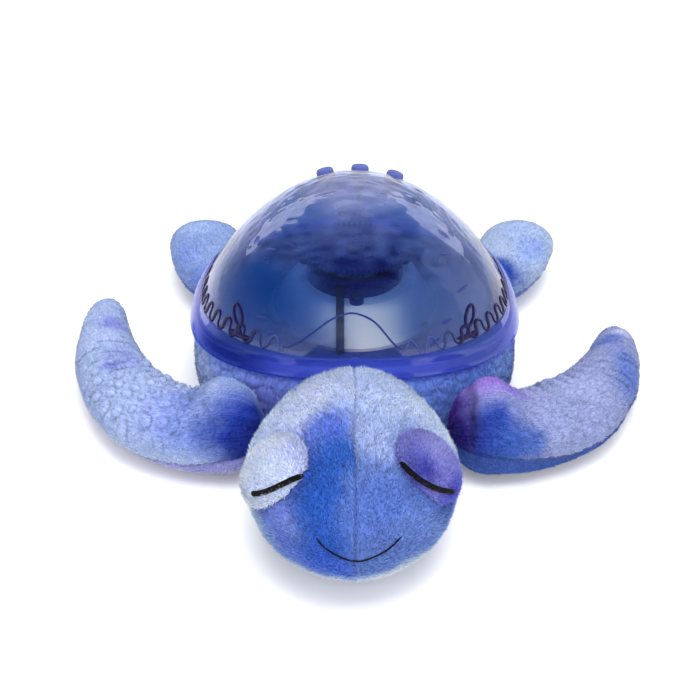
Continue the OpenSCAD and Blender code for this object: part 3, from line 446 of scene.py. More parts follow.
padding = {"quality": 4, "mass": 0.3, "tension_stiffness": 12, "bending_stiffness": 0.6, "use_pressure": True,
           "uniform_pressure_force": 4, "vertex_group_mass": "sewn"}
padFrames = 20
loosest = 0.02  # hold of the cloth away from a seam


def stuff(piece, voxel, fill, sewn=None, rounds=4, levels=2):
    # remeshed, puffed up by no more than fill mm, then made finer
    only(piece)
    piece.data.remesh_voxel_size = voxel / 1000
    bpy.ops.object.voxel_remesh()
    openUp(piece)
    bpy.ops.mesh.vertices_smooth(factor=0.5, repeat=rounds)
    close()
    if fill > 0:
        flat = readPoints(piece)
        tight = np.ones(len(flat)) * loosest if sewn is None else np.clip(sewn(flat), loosest, 1)
        group = piece.vertex_groups.new(name="sewn")
        for i, share in enumerate(tight):
            group.add([i], float(share), "REPLACE")
        cloth = piece.modifiers.new("stuffing", "CLOTH")
        for key, value in padding.items():
            setattr(cloth.settings, key, value)
        cloth.settings.effector_weights.gravity = 0
        cloth.point_cache.frame_start = 1
        cloth.point_cache.frame_end = padFrames
        for f in range(1, padFrames + 1):
            scene.frame_set(f)
        only(piece)
        bpy.ops.object.modifier_apply(modifier=cloth.name)
        moved = readPoints(piece) - flat
        far = np.linalg.norm(moved, axis=1)
        moved *= (np.minimum(far, fill) / np.maximum(far, 1e-9))[:, None]
        writePoints(piece, flat + moved)
        scene.frame_set(1)
        piece.vertex_groups.clear()
    finer = piece.modifiers.new("finer", "SUBSURF")
    finer.levels = finer.render_levels = levels
    applyAll(piece)
    smoothShade(piece)


def lift(piece, height):
    # height in mm along the surface normal
    writePoints(piece, readPoints(piece) + readNormals(piece) * height[:, None])


def finishPlush(piece, node, body, material):
    points = readPoints(piece)
    points[:, 2] = np.maximum(points[:, 2], 0)  # rests on the ground
    writePoints(piece, points)
    piece.data.materials.append(material)
    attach(piece, body)
    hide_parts(node)
    print("turtle:", piece.name, len(piece.data.vertices), "points")


# root darkens the dye as painted shade deep in the pile; tip is the pale colour of a painted highlight on the
# fibre tips, mixed in by the share after it
shortPile = {"strand": (2.6, 0.55), "root": (0.40, 0.43, 0.58), "tip": tint(214, 220, 244), "tipHighlight": 0.04,
             "sheen": 0.05, "nap": 0.5}
plush = plushMaterial("plushPile", shortPile)

# head

head = {
    "middle": np.array([-1.5, -136.0, 42.5]), "seamX": -0.2, "voxel": 5.0, "puff": 2.0, "base": (88, 115, 180),
    "seamHold": 3.0, "seamWave": (0.5, 0.09), "creasePitch": (15, 13), "pileRadius": 62,
    "seamWidths": (0.7, 3.5), "seamDepth": 0.8, "cheekDepth": 0.7, "creaseDepth": 0.45, "lineShade": 0.35,
    "patches": [
        ((0, -89, 74), (44, 34, 30), (186, 204, 250), 0.95),
        ((-26, -123, 78), (34, 40, 30), (206, 216, 255), 0.95),
        ((-44, -131, 64), (26, 44, 34), (194, 208, 255), 0.85),
        ((-54, -147, 48), (20, 50, 40), (184, 204, 255), 0.8),
        ((18, -129, 82), (36, 38, 30), (184, 202, 246), 0.95),
        ((42, -119, 70), (26, 46, 34), (194, 212, 252), 0.9),
        ((10, -165, 80), (20, 20, 18), (166, 182, 228), 0.8),
        ((32, -157, 68), (22, 24, 20), (124, 146, 208), 0.6),
        ((14, -183, 74), (18, 14, 16), (102, 128, 196), 0.7),
        ((16, -197, 62), (24, 18, 18), (82, 112, 190), 0.8),
        ((36, -191, 46), (24, 22, 20), (102, 132, 204), 0.75),
        ((-44, -183, 52), (20, 24, 16), (138, 156, 240), 0.85),
        ((-38, -195, 36), (20, 16, 12), (92, 116, 216), 0.8),
        ((-50, -176, 36), (16, 26, 14), (152, 180, 250), 0.75),
        ((-2, -194, 13), (74, 28, 19), (196, 212, 252), 1.0),
    ],
    "royal": [
        ((-13, -153, 82), (15, 20, 18), (76, 108, 206), 0.85),
        ((-12, -175, 77), (17, 20, 18), (36, 88, 176), 0.95),
        ((-17, -191, 66), (19, 18, 20), (30, 82, 172), 0.95),
        ((-14, -203, 50), (21, 18, 18), (34, 84, 174), 0.9),
        ((-16, -205, 36), (22, 16, 14), (56, 90, 192), 0.8),
    ],
    # rings of painted shade round the eyelids, and how much each of red, green and blue is darkened there
    "hollows": [((-40.8, -168, 65), 21.0), ((42.5, -166.5, 66), 20.0)], "hollowShade": (0.34, 0.28, 0.12),
}


def seamLine(p):
    sway, often = head["seamWave"]
    return head["seamX"] + sway * np.sin(p[:, 1] * often)


def sewnHead(p):
    # held at the seam over the top and where the neck goes into the body
    onSeam = np.exp(-((p[:, 0] - head["seamX"]) / head["seamHold"]) ** 2) * ease(20, 40, p[:, 2])
    return onSeam + ease(-69, -61, p[:, 1])


def overHead(p):
    # the pile's run over the head from front to back, and across it
    turn = np.arctan2(p[:, 2] - head["middle"][2], head["middle"][1] - p[:, 1])
    return turn * head["pileRadius"], p[:, 0]


headPiece = cleanCopy("headPlush", "head_plush")
stuff(headPiece, head["voxel"], head["puff"], sewnHead, rounds=3, levels=3)
points = readPoints(headPiece)
seam, cheek = (np.exp(-((points[:, 0] - seamLine(points)) / wide) ** 2) * ease(24, 34, points[:, 2])
               for wide in head["seamWidths"])
long, wide = head["creasePitch"]
cellGap = pebbles((points[:, 1] + 220) / long, (points[:, 0] + 100) / wide, 41)[0]
crease = (1 - ease(0.0, 0.09, cellGap)) * ease(58, 74, points[:, 2]) * (softNoise(points, 20, 44) > -0.15)
fuzz = fuzzOn(points, 51, (1.6, 0.10), (4.0, 0.18), (17, 0.5))
lift(headPiece, fuzz - head["seamDepth"] * seam - head["cheekDepth"] * cheek - head["creaseDepth"] * crease)
points = readPoints(headPiece)
dye = tieDye(points, head["base"], head["patches"], 60)
royal = tieDye(points, head["base"], head["patches"] + head["royal"], 60)
dye = blend(dye, royal, 1 - ease(-0.8, 0.8, points[:, 0] - head["seamX"]))  # the royal dye ends at the seam
# painted shade in a ring round each eyelid
hollow = np.zeros(len(points))
for place, radius in head["hollows"]:
    far = np.linalg.norm(points - np.array(place), axis=1)
    hollow = np.maximum(hollow, np.exp(-((far - radius) / 4.0) ** 2))
# painted shade in the seam groove and the creases
seamAndCreaseShade = 1 - head["lineShade"] * seam - head["lineShade"] * crease
dye *= seamAndCreaseShade[:, None] * (1 - hollow[:, None] * np.array(head["hollowShade"]))
setDye(headPiece, dye)
setPile(headPiece, *overHead(points))
finishPlush(headPiece, "head_plush", "base", plush)


# flippers

def flipperFacts(side, root, reach, sweep, angles, curl, rootR, widths, thick):
    # the spine that the limb follows, with its half width and thickness
    u = np.linspace(0, 1, 400)
    a = np.radians(angles[0] + (angles[1] - angles[0]) * u)
    a0 = math.radians(angles[0])
    x = side * (root[0] + reach * (np.sin(a) - math.sin(a0)))
    y = root[1] + sweep * (math.cos(a0) - np.cos(a))
    t = rootR * np.interp(u, *zip(*thick))
    z = root[2] + t - rootR + curl * u * u
    spine = np.stack([x, y, z], 1)
    step = unitRows(np.gradient(spine[:, :2], axis=0))
    inward = np.stack([-step[:, 1] * side, step[:, 0] * side], 1)
    return {"spine": spine, "inward": inward, "run": runOf(spine[:, :2]), "u": u,
            "half": rootR * np.interp(u, *zip(*widths)), "thick": t}


def alongFlipper(facts, points):
    # nearest place on the spine: share, run in mm, sideways offset, height, angle round the section
    best = np.empty(len(points), int)
    for start in range(0, len(points), 20000):
        part = points[start:start + 20000, None, :2] - facts["spine"][None, :, :2]
        best[start:start + 20000] = (part ** 2).sum(2).argmin(1)
    offset = points - facts["spine"][best]
    side = (offset[:, :2] * facts["inward"][best]).sum(1)
    round_ = np.arctan2(offset[:, 2] / facts["thick"][best], side / facts["half"][best])
    return facts["u"][best], facts["run"][best], side, offset[:, 2], round_


def seamAngles(fin, u, round_):
    # the seam's height as an angle, and how far round the section the nearer side of it is
    at = np.radians(np.interp(u, *zip(*fin["seam"])))
    outer, inner = (np.abs(np.arctan2(np.sin(a), np.cos(a))) for a in (round_ - (math.pi - at), round_ - at))
    return at, np.minimum(outer, inner)


frontWidths = [(0, 1), (0.15, 1.05), (0.4, 1.12), (0.65, 0.9), (0.85, 0.72), (1, 0.58)]
frontThick = [(0, 1), (0.3, 0.87), (0.7, 0.7), (1, 0.52)]
rearWidths = [(0, 1), (0.25, 1.45), (0.6, 1.62), (1, 1.5)]
rearThick = [(0, 1), (0.5, 1), (1, 0.85)]
frontForm = {"slim": 0.2, "shoulder": 9}
rearForm = {"slim": 0.0, "shoulder": 0, "scales": 0.2, "scaleZone": (0.1, 0.3, 0.8, 1.0), "slits": 0.0,
            "knuckles": 0.0, "foldAt": None, "seam": [(0, -10), (1, -10)]}
finRelief = {"scale": 1.15, "crescent": -0.35, "slit": -1.4, "crease": -1.5, "knuckle": 1.6, "groove": -1.0,
             "gathered": 0.25, "fold": 0.5}
finSkin = {
    "voxel": 4.5, "puff": 1.8, "seamHold": 3.5, "fill": 0.85, "scalePitch": (7.9, 7.4), "scaleLoose": 0.24,
    "slitPitch": 6.6, "slitSlant": 0.28, "slitWidth": 0.13, "knucklePitch": 8.6, "knuckleAt": 0.62,
    "knuckleWidth": 0.3, "creaseWidth": 2.6, "grooveWidth": 0.9, "gatherWidth": 4.0, "folds": 9,
}
# how far each form darkens the dye as painted shade (crescents beside the scales, slits, the crease, the seam
# groove, knuckle dips), and how far each scale's own tone shifts it
finShadeAndTone = {"crescent": -0.36, "slit": -0.6, "crease": -0.35, "groove": -0.35, "dip": -0.35, "spot": 0.12}

flippers = {
    "front_flipper_left": {
        "name": "frontFlipperLeft", "slot": "plush_blue",
        "form": (-1, (71, -78, 23.6), 75, 113, (0, 99), 9, 23, frontWidths, frontThick),
        "seam": [(0, -10), (0.12, -22), (0.3, -34), (0.7, -33), (1, -20)],
        "scales": 1.0, "scaleZone": (0.07, 0.16, 0.5, 0.7), "slits": 1.0, "knuckles": 0.25, "foldAt": None,
        "base": (164, 182, 222), "seed": 100, **frontForm,
        "patches": [
            ((-92, -88, 36), (24, 22, 20), (104, 130, 212), 0.7),
            ((-60, -86, 40), (34, 28, 30), (8, 48, 148), 1.0),
            ((-55, -94, 30), (20, 14, 20), (10, 40, 134), 0.95),
            ((-76, -63, 55), (22, 15, 10), (136, 160, 216), 0.85),
            ((-106, -79, 38), (24, 20, 16), (150, 165, 226), 0.7),
            ((-136, -37, 38), (7, 6, 8), (112, 120, 206), 0.8),
            ((-148, -1, 36), (16, 14, 14), (176, 190, 230), 0.8),
            ((-138, 14, 37), (13, 11, 12), (118, 124, 206), 0.7),
            ((-130, -27, 38), (14, 22, 14), (134, 146, 216), 0.6),
        ],
        "under": (160, 158, 226),
    },
    "front_flipper_right": {
        "name": "frontFlipperRight", "slot": "plush_violet",
        "form": (1, (73, -78, 23.6), 80, 115, (0, 88), 1.5, 23, frontWidths, frontThick),
        "seam": [(0, -2), (0.3, -14), (0.6, -8), (1, 0)],
        "scales": 0.55, "scaleZone": (0.12, 0.22, 0.45, 0.65), "slits": 0.8, "knuckles": 1.0, "foldAt": -11.0,
        "base": (144, 153, 196), "seed": 140, **frontForm,
        "patches": [
            ((75, -94, 33), (26, 22, 25), (34, 62, 150), 1.0),
            ((88, -94, 27), (17, 15, 17), (60, 92, 166), 0.8),
            ((72, -68, 52), (24, 16, 14), (146, 112, 202), 1.0),
            ((82, -70, 46), (16, 12, 12), (126, 112, 202), 0.6),
            ((52, -79, 41), (15, 25, 30), (58, 0, 126), 1.0),
            ((55, -92, 27), (17, 16, 26), (24, 0, 104), 1.0),
            ((152, -31, 28), (16, 30, 18), (88, 116, 188), 0.9),
            ((144, 3, 28), (14, 14, 14), (88, 112, 188), 0.8),
            ((156, 15, 26), (14, 10, 12), (188, 196, 230), 0.8),
            ((124, -53, 36), (20, 16, 14), (164, 172, 214), 0.6),
            ((94, -63, 42), (16, 10, 10), (160, 160, 208), 0.6),
        ],
        "under": (50, 82, 160),
    },
    "rear_flipper_left": {
        "name": "rearFlipperLeft", "slot": "plush_lavender",
        "form": (-1, (74, 72, 20), 41, 124, (25, 72), 3, 15, rearWidths, rearThick),
        "base": (140, 164, 214), "seed": 180, **rearForm,
        "patches": [
            ((-87, 71, 31), (18, 14, 16), (104, 132, 216), 0.8),
            ((-104, 94, 30), (14, 18, 14), (124, 150, 222), 0.6),
            ((-99, 124, 34), (18, 12, 12), (164, 188, 233), 0.8),
        ],
        "under": (120, 140, 214),
    },
    "rear_flipper_right": {
        "name": "rearFlipperRight", "slot": "plush_lavender",
        "form": (1, (74, 72, 20), 62, 124, (25, 72), 3, 15, rearWidths, rearThick),
        "base": (166, 184, 216), "seed": 220, **rearForm,
        "patches": [
            ((92, 75, 31), (22, 18, 17), (24, 62, 150), 1.0),
            ((110, 100, 31), (14, 16, 14), (126, 154, 224), 0.6),
            ((103, 124, 34), (20, 12, 12), (168, 190, 233), 0.8),
        ],
        "under": (118, 140, 214),
    },
}

for node, fin in flippers.items():
    facts = fin["facts"] = flipperFacts(*fin["form"])
    piece = cleanCopy(fin["name"], node)
    seed = fin["seed"]

    def sewnEdge(p):
        u, run, side, up, round_ = alongFlipper(facts, p)
        near = seamAngles(fin, u, round_)[1] * facts["thick"][0]
        return np.exp(-(near / finSkin["seamHold"]) ** 2) + (1 - ease(-4, 8, run))

    levels = 3 if "front" in node else 2
    stuff(piece, finSkin["voxel"], finSkin["puff"], sewnEdge, rounds=3, levels=levels)
    points = readPoints(piece)
    u, run, side, up, round_ = alongFlipper(facts, points)
    radius = np.interp(u, facts["u"], facts["thick"])
    half = np.interp(u, facts["u"], facts["half"])
    # a full shoulder over the root and a slim tip
    inward = facts["inward"][np.rint(u * (len(facts["u"]) - 1)).astype(int)]
    points[:, :2] -= inward * (side * fin["slim"] * ease(0.66, 1.0, u))[:, None]
    points[:, 2] += fin["shoulder"] * (1 - ease(0.02, 0.2, u)) * ease(-0.2, 0.8, up / radius)
    writePoints(piece, points)
    at, seamAngle = seamAngles(fin, u, round_)
    toSeam = seamAngle * (radius + half) / 2
    upper = ((np.sin(round_ - at) > 0) & (np.cos(round_) > 0)
             | (np.sin(round_ - (math.pi - at)) < 0) & (np.cos(round_) <= 0))
    over = ease(-0.1, 0.4, up / radius)
    # round scales along the middle
    long, wide = finSkin["scalePitch"]
    runs = (run + 1.5 * softNoise(points, 14, seed)) / long
    _, scaleTone, scaleNear, scaleSide = pebbles(runs, (side + 60) / wide, seed + 1, finSkin["scaleLoose"])
    scaleNear = scaleNear / (0.27 + 0.12 * scaleTone)
    begin, full, ebb, end = fin["scaleZone"]
    inScales = fin["scales"] * ease(-0.3, 0.2, up / radius) * ease(begin, full, u) * (1 - ease(ebb, end, u))
    inScales = inScales * (scaleTone > 0.06)
    # short slits across the upper arm
    slant = run + finSkin["slitSlant"] * side
    beat = (slant + 2.5 * softNoise(points, 20, seed + 12)) / finSkin["slitPitch"]
    broken = ease(0.02, 0.25, softNoise(np.stack([beat.round() * 31, side / 1.4, 0 * run], 1), 9, seed + 13))
    beyond = ease(0.4, 0.58, u)
    inSlits = fin["slits"] * over * (beyond * (1 - ease(0.8, 0.92, u))
                                     + ease(0.15, 0.3, u) * (1 - beyond) * ease(0.15, 0.5, side / half))
    # knuckles on the inner edge
    offKnuckles = (side / half - finSkin["knuckleAt"]) / finSkin["knuckleWidth"]
    inKnuckles = fin["knuckles"] * np.exp(-offKnuckles ** 2) * over
    inKnuckles = inKnuckles * ease(0.08, 0.2, u) * (1 - ease(0.5, 0.75, u))
    knuckleRun = run + 2 * softNoise(points, 16, seed + 14)
    knuckle = inKnuckles * np.cos(2 * math.pi * knuckleRun / finSkin["knucklePitch"])
    # one deep fold beside the root, and small ones round it
    crease = 0 * run
    if fin["foldAt"] is not None:
        past = np.abs(points[:, 0]) - fin["form"][1][0] - fin["foldAt"] - softNoise(points, 12, seed + 15)
        crease = np.exp(-(past / finSkin["creaseWidth"]) ** 2) * over
    folds = np.sin(round_ * finSkin["folds"] + 2.5 * softNoise(points, 12, seed + 4))
    scale = (1 - ease(0.35, 1.08, scaleNear)) * inScales
    forms = {
        "scale": scale, "spot": scale * (scaleTone - 0.35),
        # a crescent on one side of each scale: a shallow groove, and painted shadow in the dye
        "crescent": np.exp(-((scaleNear - 1.08) / 0.2) ** 2) * (0.5 + 0.5 * np.tanh(-6 * scaleSide)) * inScales,
        "slit": np.exp(-((beat - beat.round()) / finSkin["slitWidth"]) ** 2) * broken * np.clip(inSlits, 0, 1),
        "crease": crease, "knuckle": knuckle, "dip": np.clip(-knuckle, 0, 1),
        "groove": np.exp(-(toSeam / finSkin["grooveWidth"]) ** 2),
        "gathered": (np.exp(-(toSeam / finSkin["gatherWidth"]) ** 2)
                     * np.sin(run * 0.9 + 3 * softNoise(points, 9, seed + 5))),
        "fold": folds * (1 - ease(-6, 26, run)) * ease(-30, -6, run),
    }
    fuzz = fuzzOn(points, seed + 6, (1.6, 0.10), (4.0, 0.16), (15, 0.6))
    lift(piece, sum((finRelief[k] * forms[k] for k in finRelief), fuzz))
    points = readPoints(piece)
    under = tint(*fin["under"]) * (0.85 + 0.15 * softNoise(points, 14, seed + 10))[:, None]
    dye = blend(tieDye(points, fin["base"], fin["patches"], seed), under, (~upper) * ease(0.0, 1.2, toSeam))
    # painted shade in crescents, slits, the crease, the seam groove and knuckle dips, and each scale's own tone
    setDye(piece, dye * sum((finShadeAndTone[k] * forms[k] for k in finShadeAndTone), 1)[:, None])
    setPile(piece, run, round_ * (radius + half) / 2)
    finishPlush(piece, node, node, plush)

# body

body = {
    "half": (91, 80), "girth": 80, "pebble": (8.4, 8.0), "pileRadius": 85,
    "voxel": 3.0, "domes": 0.7, "valleys": 0.8, "shade": 0.4, "base": (106, 138, 222),
    "patches": [
        ((-68, -49, 38), (40, 30, 26), (140, 166, 244), 0.9),
        ((-88, -24, 28), (26, 40, 30), (188, 210, 255), 0.9),
        ((-48, -63, 36), (26, 16, 20), (112, 118, 206), 0.7),
        ((62, -55, 40), (34, 26, 24), (92, 124, 206), 0.9),
        ((82, -33, 34), (20, 26, 26), (120, 152, 220), 0.8),
        ((90, 21, 26), (24, 40, 26), (134, 156, 222), 0.8),
        ((-86, 31, 26), (24, 40, 26), (116, 128, 212), 0.8),
        ((-28, 89, 26), (40, 26, 30), (150, 166, 226), 0.8),
        ((38, 89, 26), (40, 26, 30), (96, 112, 204), 0.8),
        ((2, 1, 0), (60, 60, 8), (124, 140, 216), 0.7),
    ],
}


def outward(p):
    # 0 at the middle of the body, near 1 at its flanks
    return np.hypot(p[:, 0] / body["half"][0], p[:, 1] / body["half"][1])


bodyPiece = cleanCopy("bodyPlush", "body_plush")
stuff(bodyPiece, body["voxel"], 0, rounds=2, levels=1)
points = readPoints(bodyPiece)
normals = readNormals(bodyPiece)
angle = np.arctan2(points[:, 1], points[:, 0])
flank = ease(0.35, 0.7, np.hypot(normals[:, 0], normals[:, 1])) * ease(0.7, 0.8, outward(points))
wide, tall = body["pebble"]
cellGap = pebbles((angle * body["girth"] + 400) / wide, (points[:, 2] + 30) / tall, 301)[0]
valley = (1 - ease(0.0, 0.25, cellGap)) * flank
domed = ease(0.0, 0.5, cellGap) * flank
strength = 0.55 + 0.45 * softNoise(points, 30, 302)
fuzz = fuzzOn(points, 311, (1.6, 0.08), (4.0, 0.14), (15, 0.25))
relief = strength * (body["domes"] * domed - body["valleys"] * valley)
lift(bodyPiece, np.where(flank > 0.01, fuzz + relief, 0.0))
points = readPoints(bodyPiece)
# painted shade in the valleys between the pebbles
shade = 1 - body["shade"] * strength * valley
setDye(bodyPiece, tieDye(points, body["base"], body["patches"], 320) * shade[:, None])
flatSide = np.abs(normals[:, 2]) > 0.75
setPile(bodyPiece, np.where(flatSide, points[:, 1], points[:, 2]),
        np.where(flatSide, points[:, 0], angle * body["pileRadius"]))
finishPlush(bodyPiece, "body_plush", "base", plush)

# eyelids

lids = {
    "eyelid_left": {
        "name": "eyelidLeft", "slot": "plush_lavender", "base": (203, 215, 248), "seed": 400,
        "place": (-38.0, -168.5, 66.5), "facing": (-0.63, -0.31, 0.71), "shift": (-2.8, 0.6, -1.2),
        "wide": 1.12, "tall": 1.0, "rise": 0.0, "full": 1.75,
        "patches": [((-26, -166, 74), (12, 14, 12), (164, 170, 228), 0.6),
                    ((-42, -169, 56), (16, 14, 9), (192, 208, 240), 0.6)],
    },
    "eyelid_right": {
        "name": "eyelidRight", "slot": "plush_violet", "base": (120, 122, 200), "seed": 430,
        "place": (38.0, -168.5, 66.5), "facing": (0.63, -0.31, 0.71), "shift": (4.6, 2.0, -1.2),
        "wide": 1.04, "tall": 1.08, "rise": 2.4, "full": 1.75,
        "patches": [((44, -158, 78), (14, 14, 12), (146, 144, 216), 0.8),
                    ((31, -171, 68), (11, 12, 14), (42, 44, 142), 0.9),
                    ((46, -168, 54), (18, 14, 11), (72, 72, 172), 0.85)],
    },
}
lidSkin = {"voxel": 1.8, "puff": 0.6, "radius": 19.0, "hemShade": 0.25}
for node, lid in lids.items():
    piece = cleanCopy(lid["name"], node)
    stuff(piece, lidSkin["voxel"], lidSkin["puff"], None, rounds=4, levels=1)
    # a fuller puff: wider over the head and standing further out of it
    out = unit(lid["facing"])
    upward = unit(np.array([0, 0, 1]) - out[2] * out)
    local = readPoints(piece) - np.array(lid["place"])
    high = local @ out
    flat = local - high[:, None] * out
    centre = np.array(lid["place"]) + np.array(lid["shift"])
    taller = (flat @ upward) * (lid["tall"] - 1) + lid["rise"]
    fuller = (high * lid["full"])[:, None] * out
    writePoints(piece, centre + flat * lid["wide"] + taller[:, None] * upward + fuller)
    points = readPoints(piece)
    hem = ease(0.72, 1.0, np.linalg.norm(flat, axis=1) / lidSkin["radius"])
    seed = lid["seed"]
    lift(piece, fuzzOn(points, seed, (1.6, 0.10), (4, 0.15)))
    # painted shade round the hem of each eyelid
    shade = 1 - lidSkin["hemShade"] * hem
    setDye(piece, tieDye(points, lid["base"], lid["patches"], seed, 4) * shade[:, None])
    setPile(piece, *overHead(points))
    finishPlush(piece, node, "base", plush)

# sewn face: lashes in satin stitch, mouth in one thread

def surfaceOf(*pieces):
    verts = []
    faces = []
    for piece in pieces:
        shift = len(verts)
        verts.extend(v.co.copy() for v in piece.data.vertices)
        faces.extend([i + shift for i in p.vertices] for p in piece.data.polygons)
    return BVHTree.FromPolygons(verts, faces)


def onSurface(tree, point, facing):
    # meets the surface from outside, looking back along facing
    start = Vector(point + shellAt) / 1000 + Vector(facing) * 0.03
    hit, normal, _, _ = tree.ray_cast(start, -Vector(facing))
    if hit is None:
        hit, normal, _, _ = tree.find_nearest(Vector(point + shellAt) / 1000)
    return np.array(hit) * 1000 - shellAt, np.array(normal)


def curveThrough(marks, count):
    marks = np.array(marks, float)
    gaps = runOf(marks)
    t = np.linspace(0, gaps[-1], count)
    if len(marks) > 4:
        # many marks: straight between them, then eased
        path = np.stack([np.interp(t, gaps, marks[:, k]) for k in range(3)], 1)
        width = count // 9 | 1
        for k in range(3):
            row = path[:, k]
            before = 2 * row[0] - row[width // 2:0:-1]
            after = 2 * row[-1] - row[-2:-width // 2 - 1:-1]
            eased = np.convolve(np.concatenate([before, row, after]), np.ones(width) / width, "valid")
            path[:, k] = eased[:count]
        return path
    return np.stack([np.polyval(np.polyfit(gaps, marks[:, k], len(marks) - 1), t) for k in range(3)], 1)


def ribAlong(name, place, normal, wide, high, columns=420, rows=14, sunk=0.25):
    # an oval rib on a surface; wide and high are in mm at each place of the path
    step = unitRows(np.gradient(place, axis=0))
    across = np.cross(normal, step)
    count = np.arange(len(place))

    def lay(s, t):
        i = s * (len(place) - 1)
        pick = lambda rows: np.stack([np.interp(i, count, rows[:, k]) for k in range(3)], 1)
        a = 2 * math.pi * t
        return (pick(place) + pick(across) * (np.interp(i, count, wide) / 2 * np.cos(a))[:, None]
                + pick(normal) * (np.interp(i, count, high) * np.sin(a) + sunk)[:, None])

    piece = wrappedGrid(name, columns, rows, lay)
    weld(piece, 0.000004)
    smoothShade(piece)
    return piece


def roundEnds(count, share):
    t = np.linspace(0, 1, count)
    return np.sqrt(np.clip(np.minimum(t, 1 - t) / share, 0, 1))


sewn = {}  # where thread runs, so that the pile leaves it free


def stitchedBand(name, surface, marks, facing, width, rise, stitch, sunk):
    spots = [onSurface(surface, p, facing) for p in curveThrough(marks, 420)]
    place = np.array([s[0] for s in spots])
    normal = np.array([s[1] for s in spots])
    for k in range(3):
        place[:, k] = smoothRow(place[:, k], 25)
        normal[:, k] = smoothRow(normal[:, k], 49)
    end = roundEnds(len(place), 0.06)
    twist = 0.10 * np.sin(2 * math.pi * runOf(place) / stitch)
    sewn[name] = place
    return ribAlong(name, place, unitRows(normal), width * end, (rise + twist) * end, sunk=sunk)


thread, threadTree, threadShader = startMaterial("lashThread")
threadGrain = noiseNode(threadTree, objectCoords(threadTree), 2600.0, 3.0)
threadDark = mixColour(threadTree, threadGrain, tint(3, 3, 4), tint(16, 14, 16))
dress(threadTree, threadShader, {"Base Color": threadDark, "Roughness": 0.7, "Specular IOR Level": 0.2})
bumpFrom(threadTree, threadShader, threadGrain, 0.35, 0.0002)

faceSurface = surfaceOf(headPiece, bpy.data.objects["eyelidLeft"], bpy.data.objects["eyelidRight"])
lashForm = {"width": 3.0, "rise": 0.9, "stitch": 0.6, "sunk": 0.6}
face = {
    "lashLeft": {
        "facing": unit((-0.45, -0.62, 0.65)), **lashForm,
        "marks": [(-47.4, -170.7, 53.0), (-44, -174.5, 56.0), (-37.9, -178.5, 62.2), (-25.2, -178.3, 71.4)],
    },
    "lashRight": {
        "facing": unit((0.45, -0.62, 0.65)), **lashForm,
        "marks": [(21.4, -171.2, 74.0), (26.4, -175.0, 68.4), (33.0, -176.0, 63.2), (45.2, -166.6, 51.0)],
    },
    "mouthThread": {
        "facing": (0, -1, 0), "width": 0.75, "rise": 0.5, "stitch": 2.4, "sunk": 0.6,
        "marks": [(-19.1, -202.1, 51.9), (-14.7, -205.1, 47.5), (-7.5, -206.8, 43.2), (0.3, -206.8, 39.5),
                  (9.5, -206.4, 43.0), (16.8, -203.5, 46.2), (22.7, -199.1, 50.1)],
    },
}
for name, line in face.items():
    band = stitchedBand(name, faceSurface, **line)
    band.data.materials.append(thread)
    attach(band, "base")
print("turtle: face sewn")


# pile: short strands standing on every plush piece, each a slim closed spike

pileStrand, pileTree, pileShader = startMaterial("pileStrand")
dress(pileTree, pileShader, {
    "Base Color": attribute(pileTree, "dye"), "Roughness": 0.85, "Specular IOR Level": 0.06,
    "Sheen Weight": 0.03, "Sheen Tint": sheenTint,
})


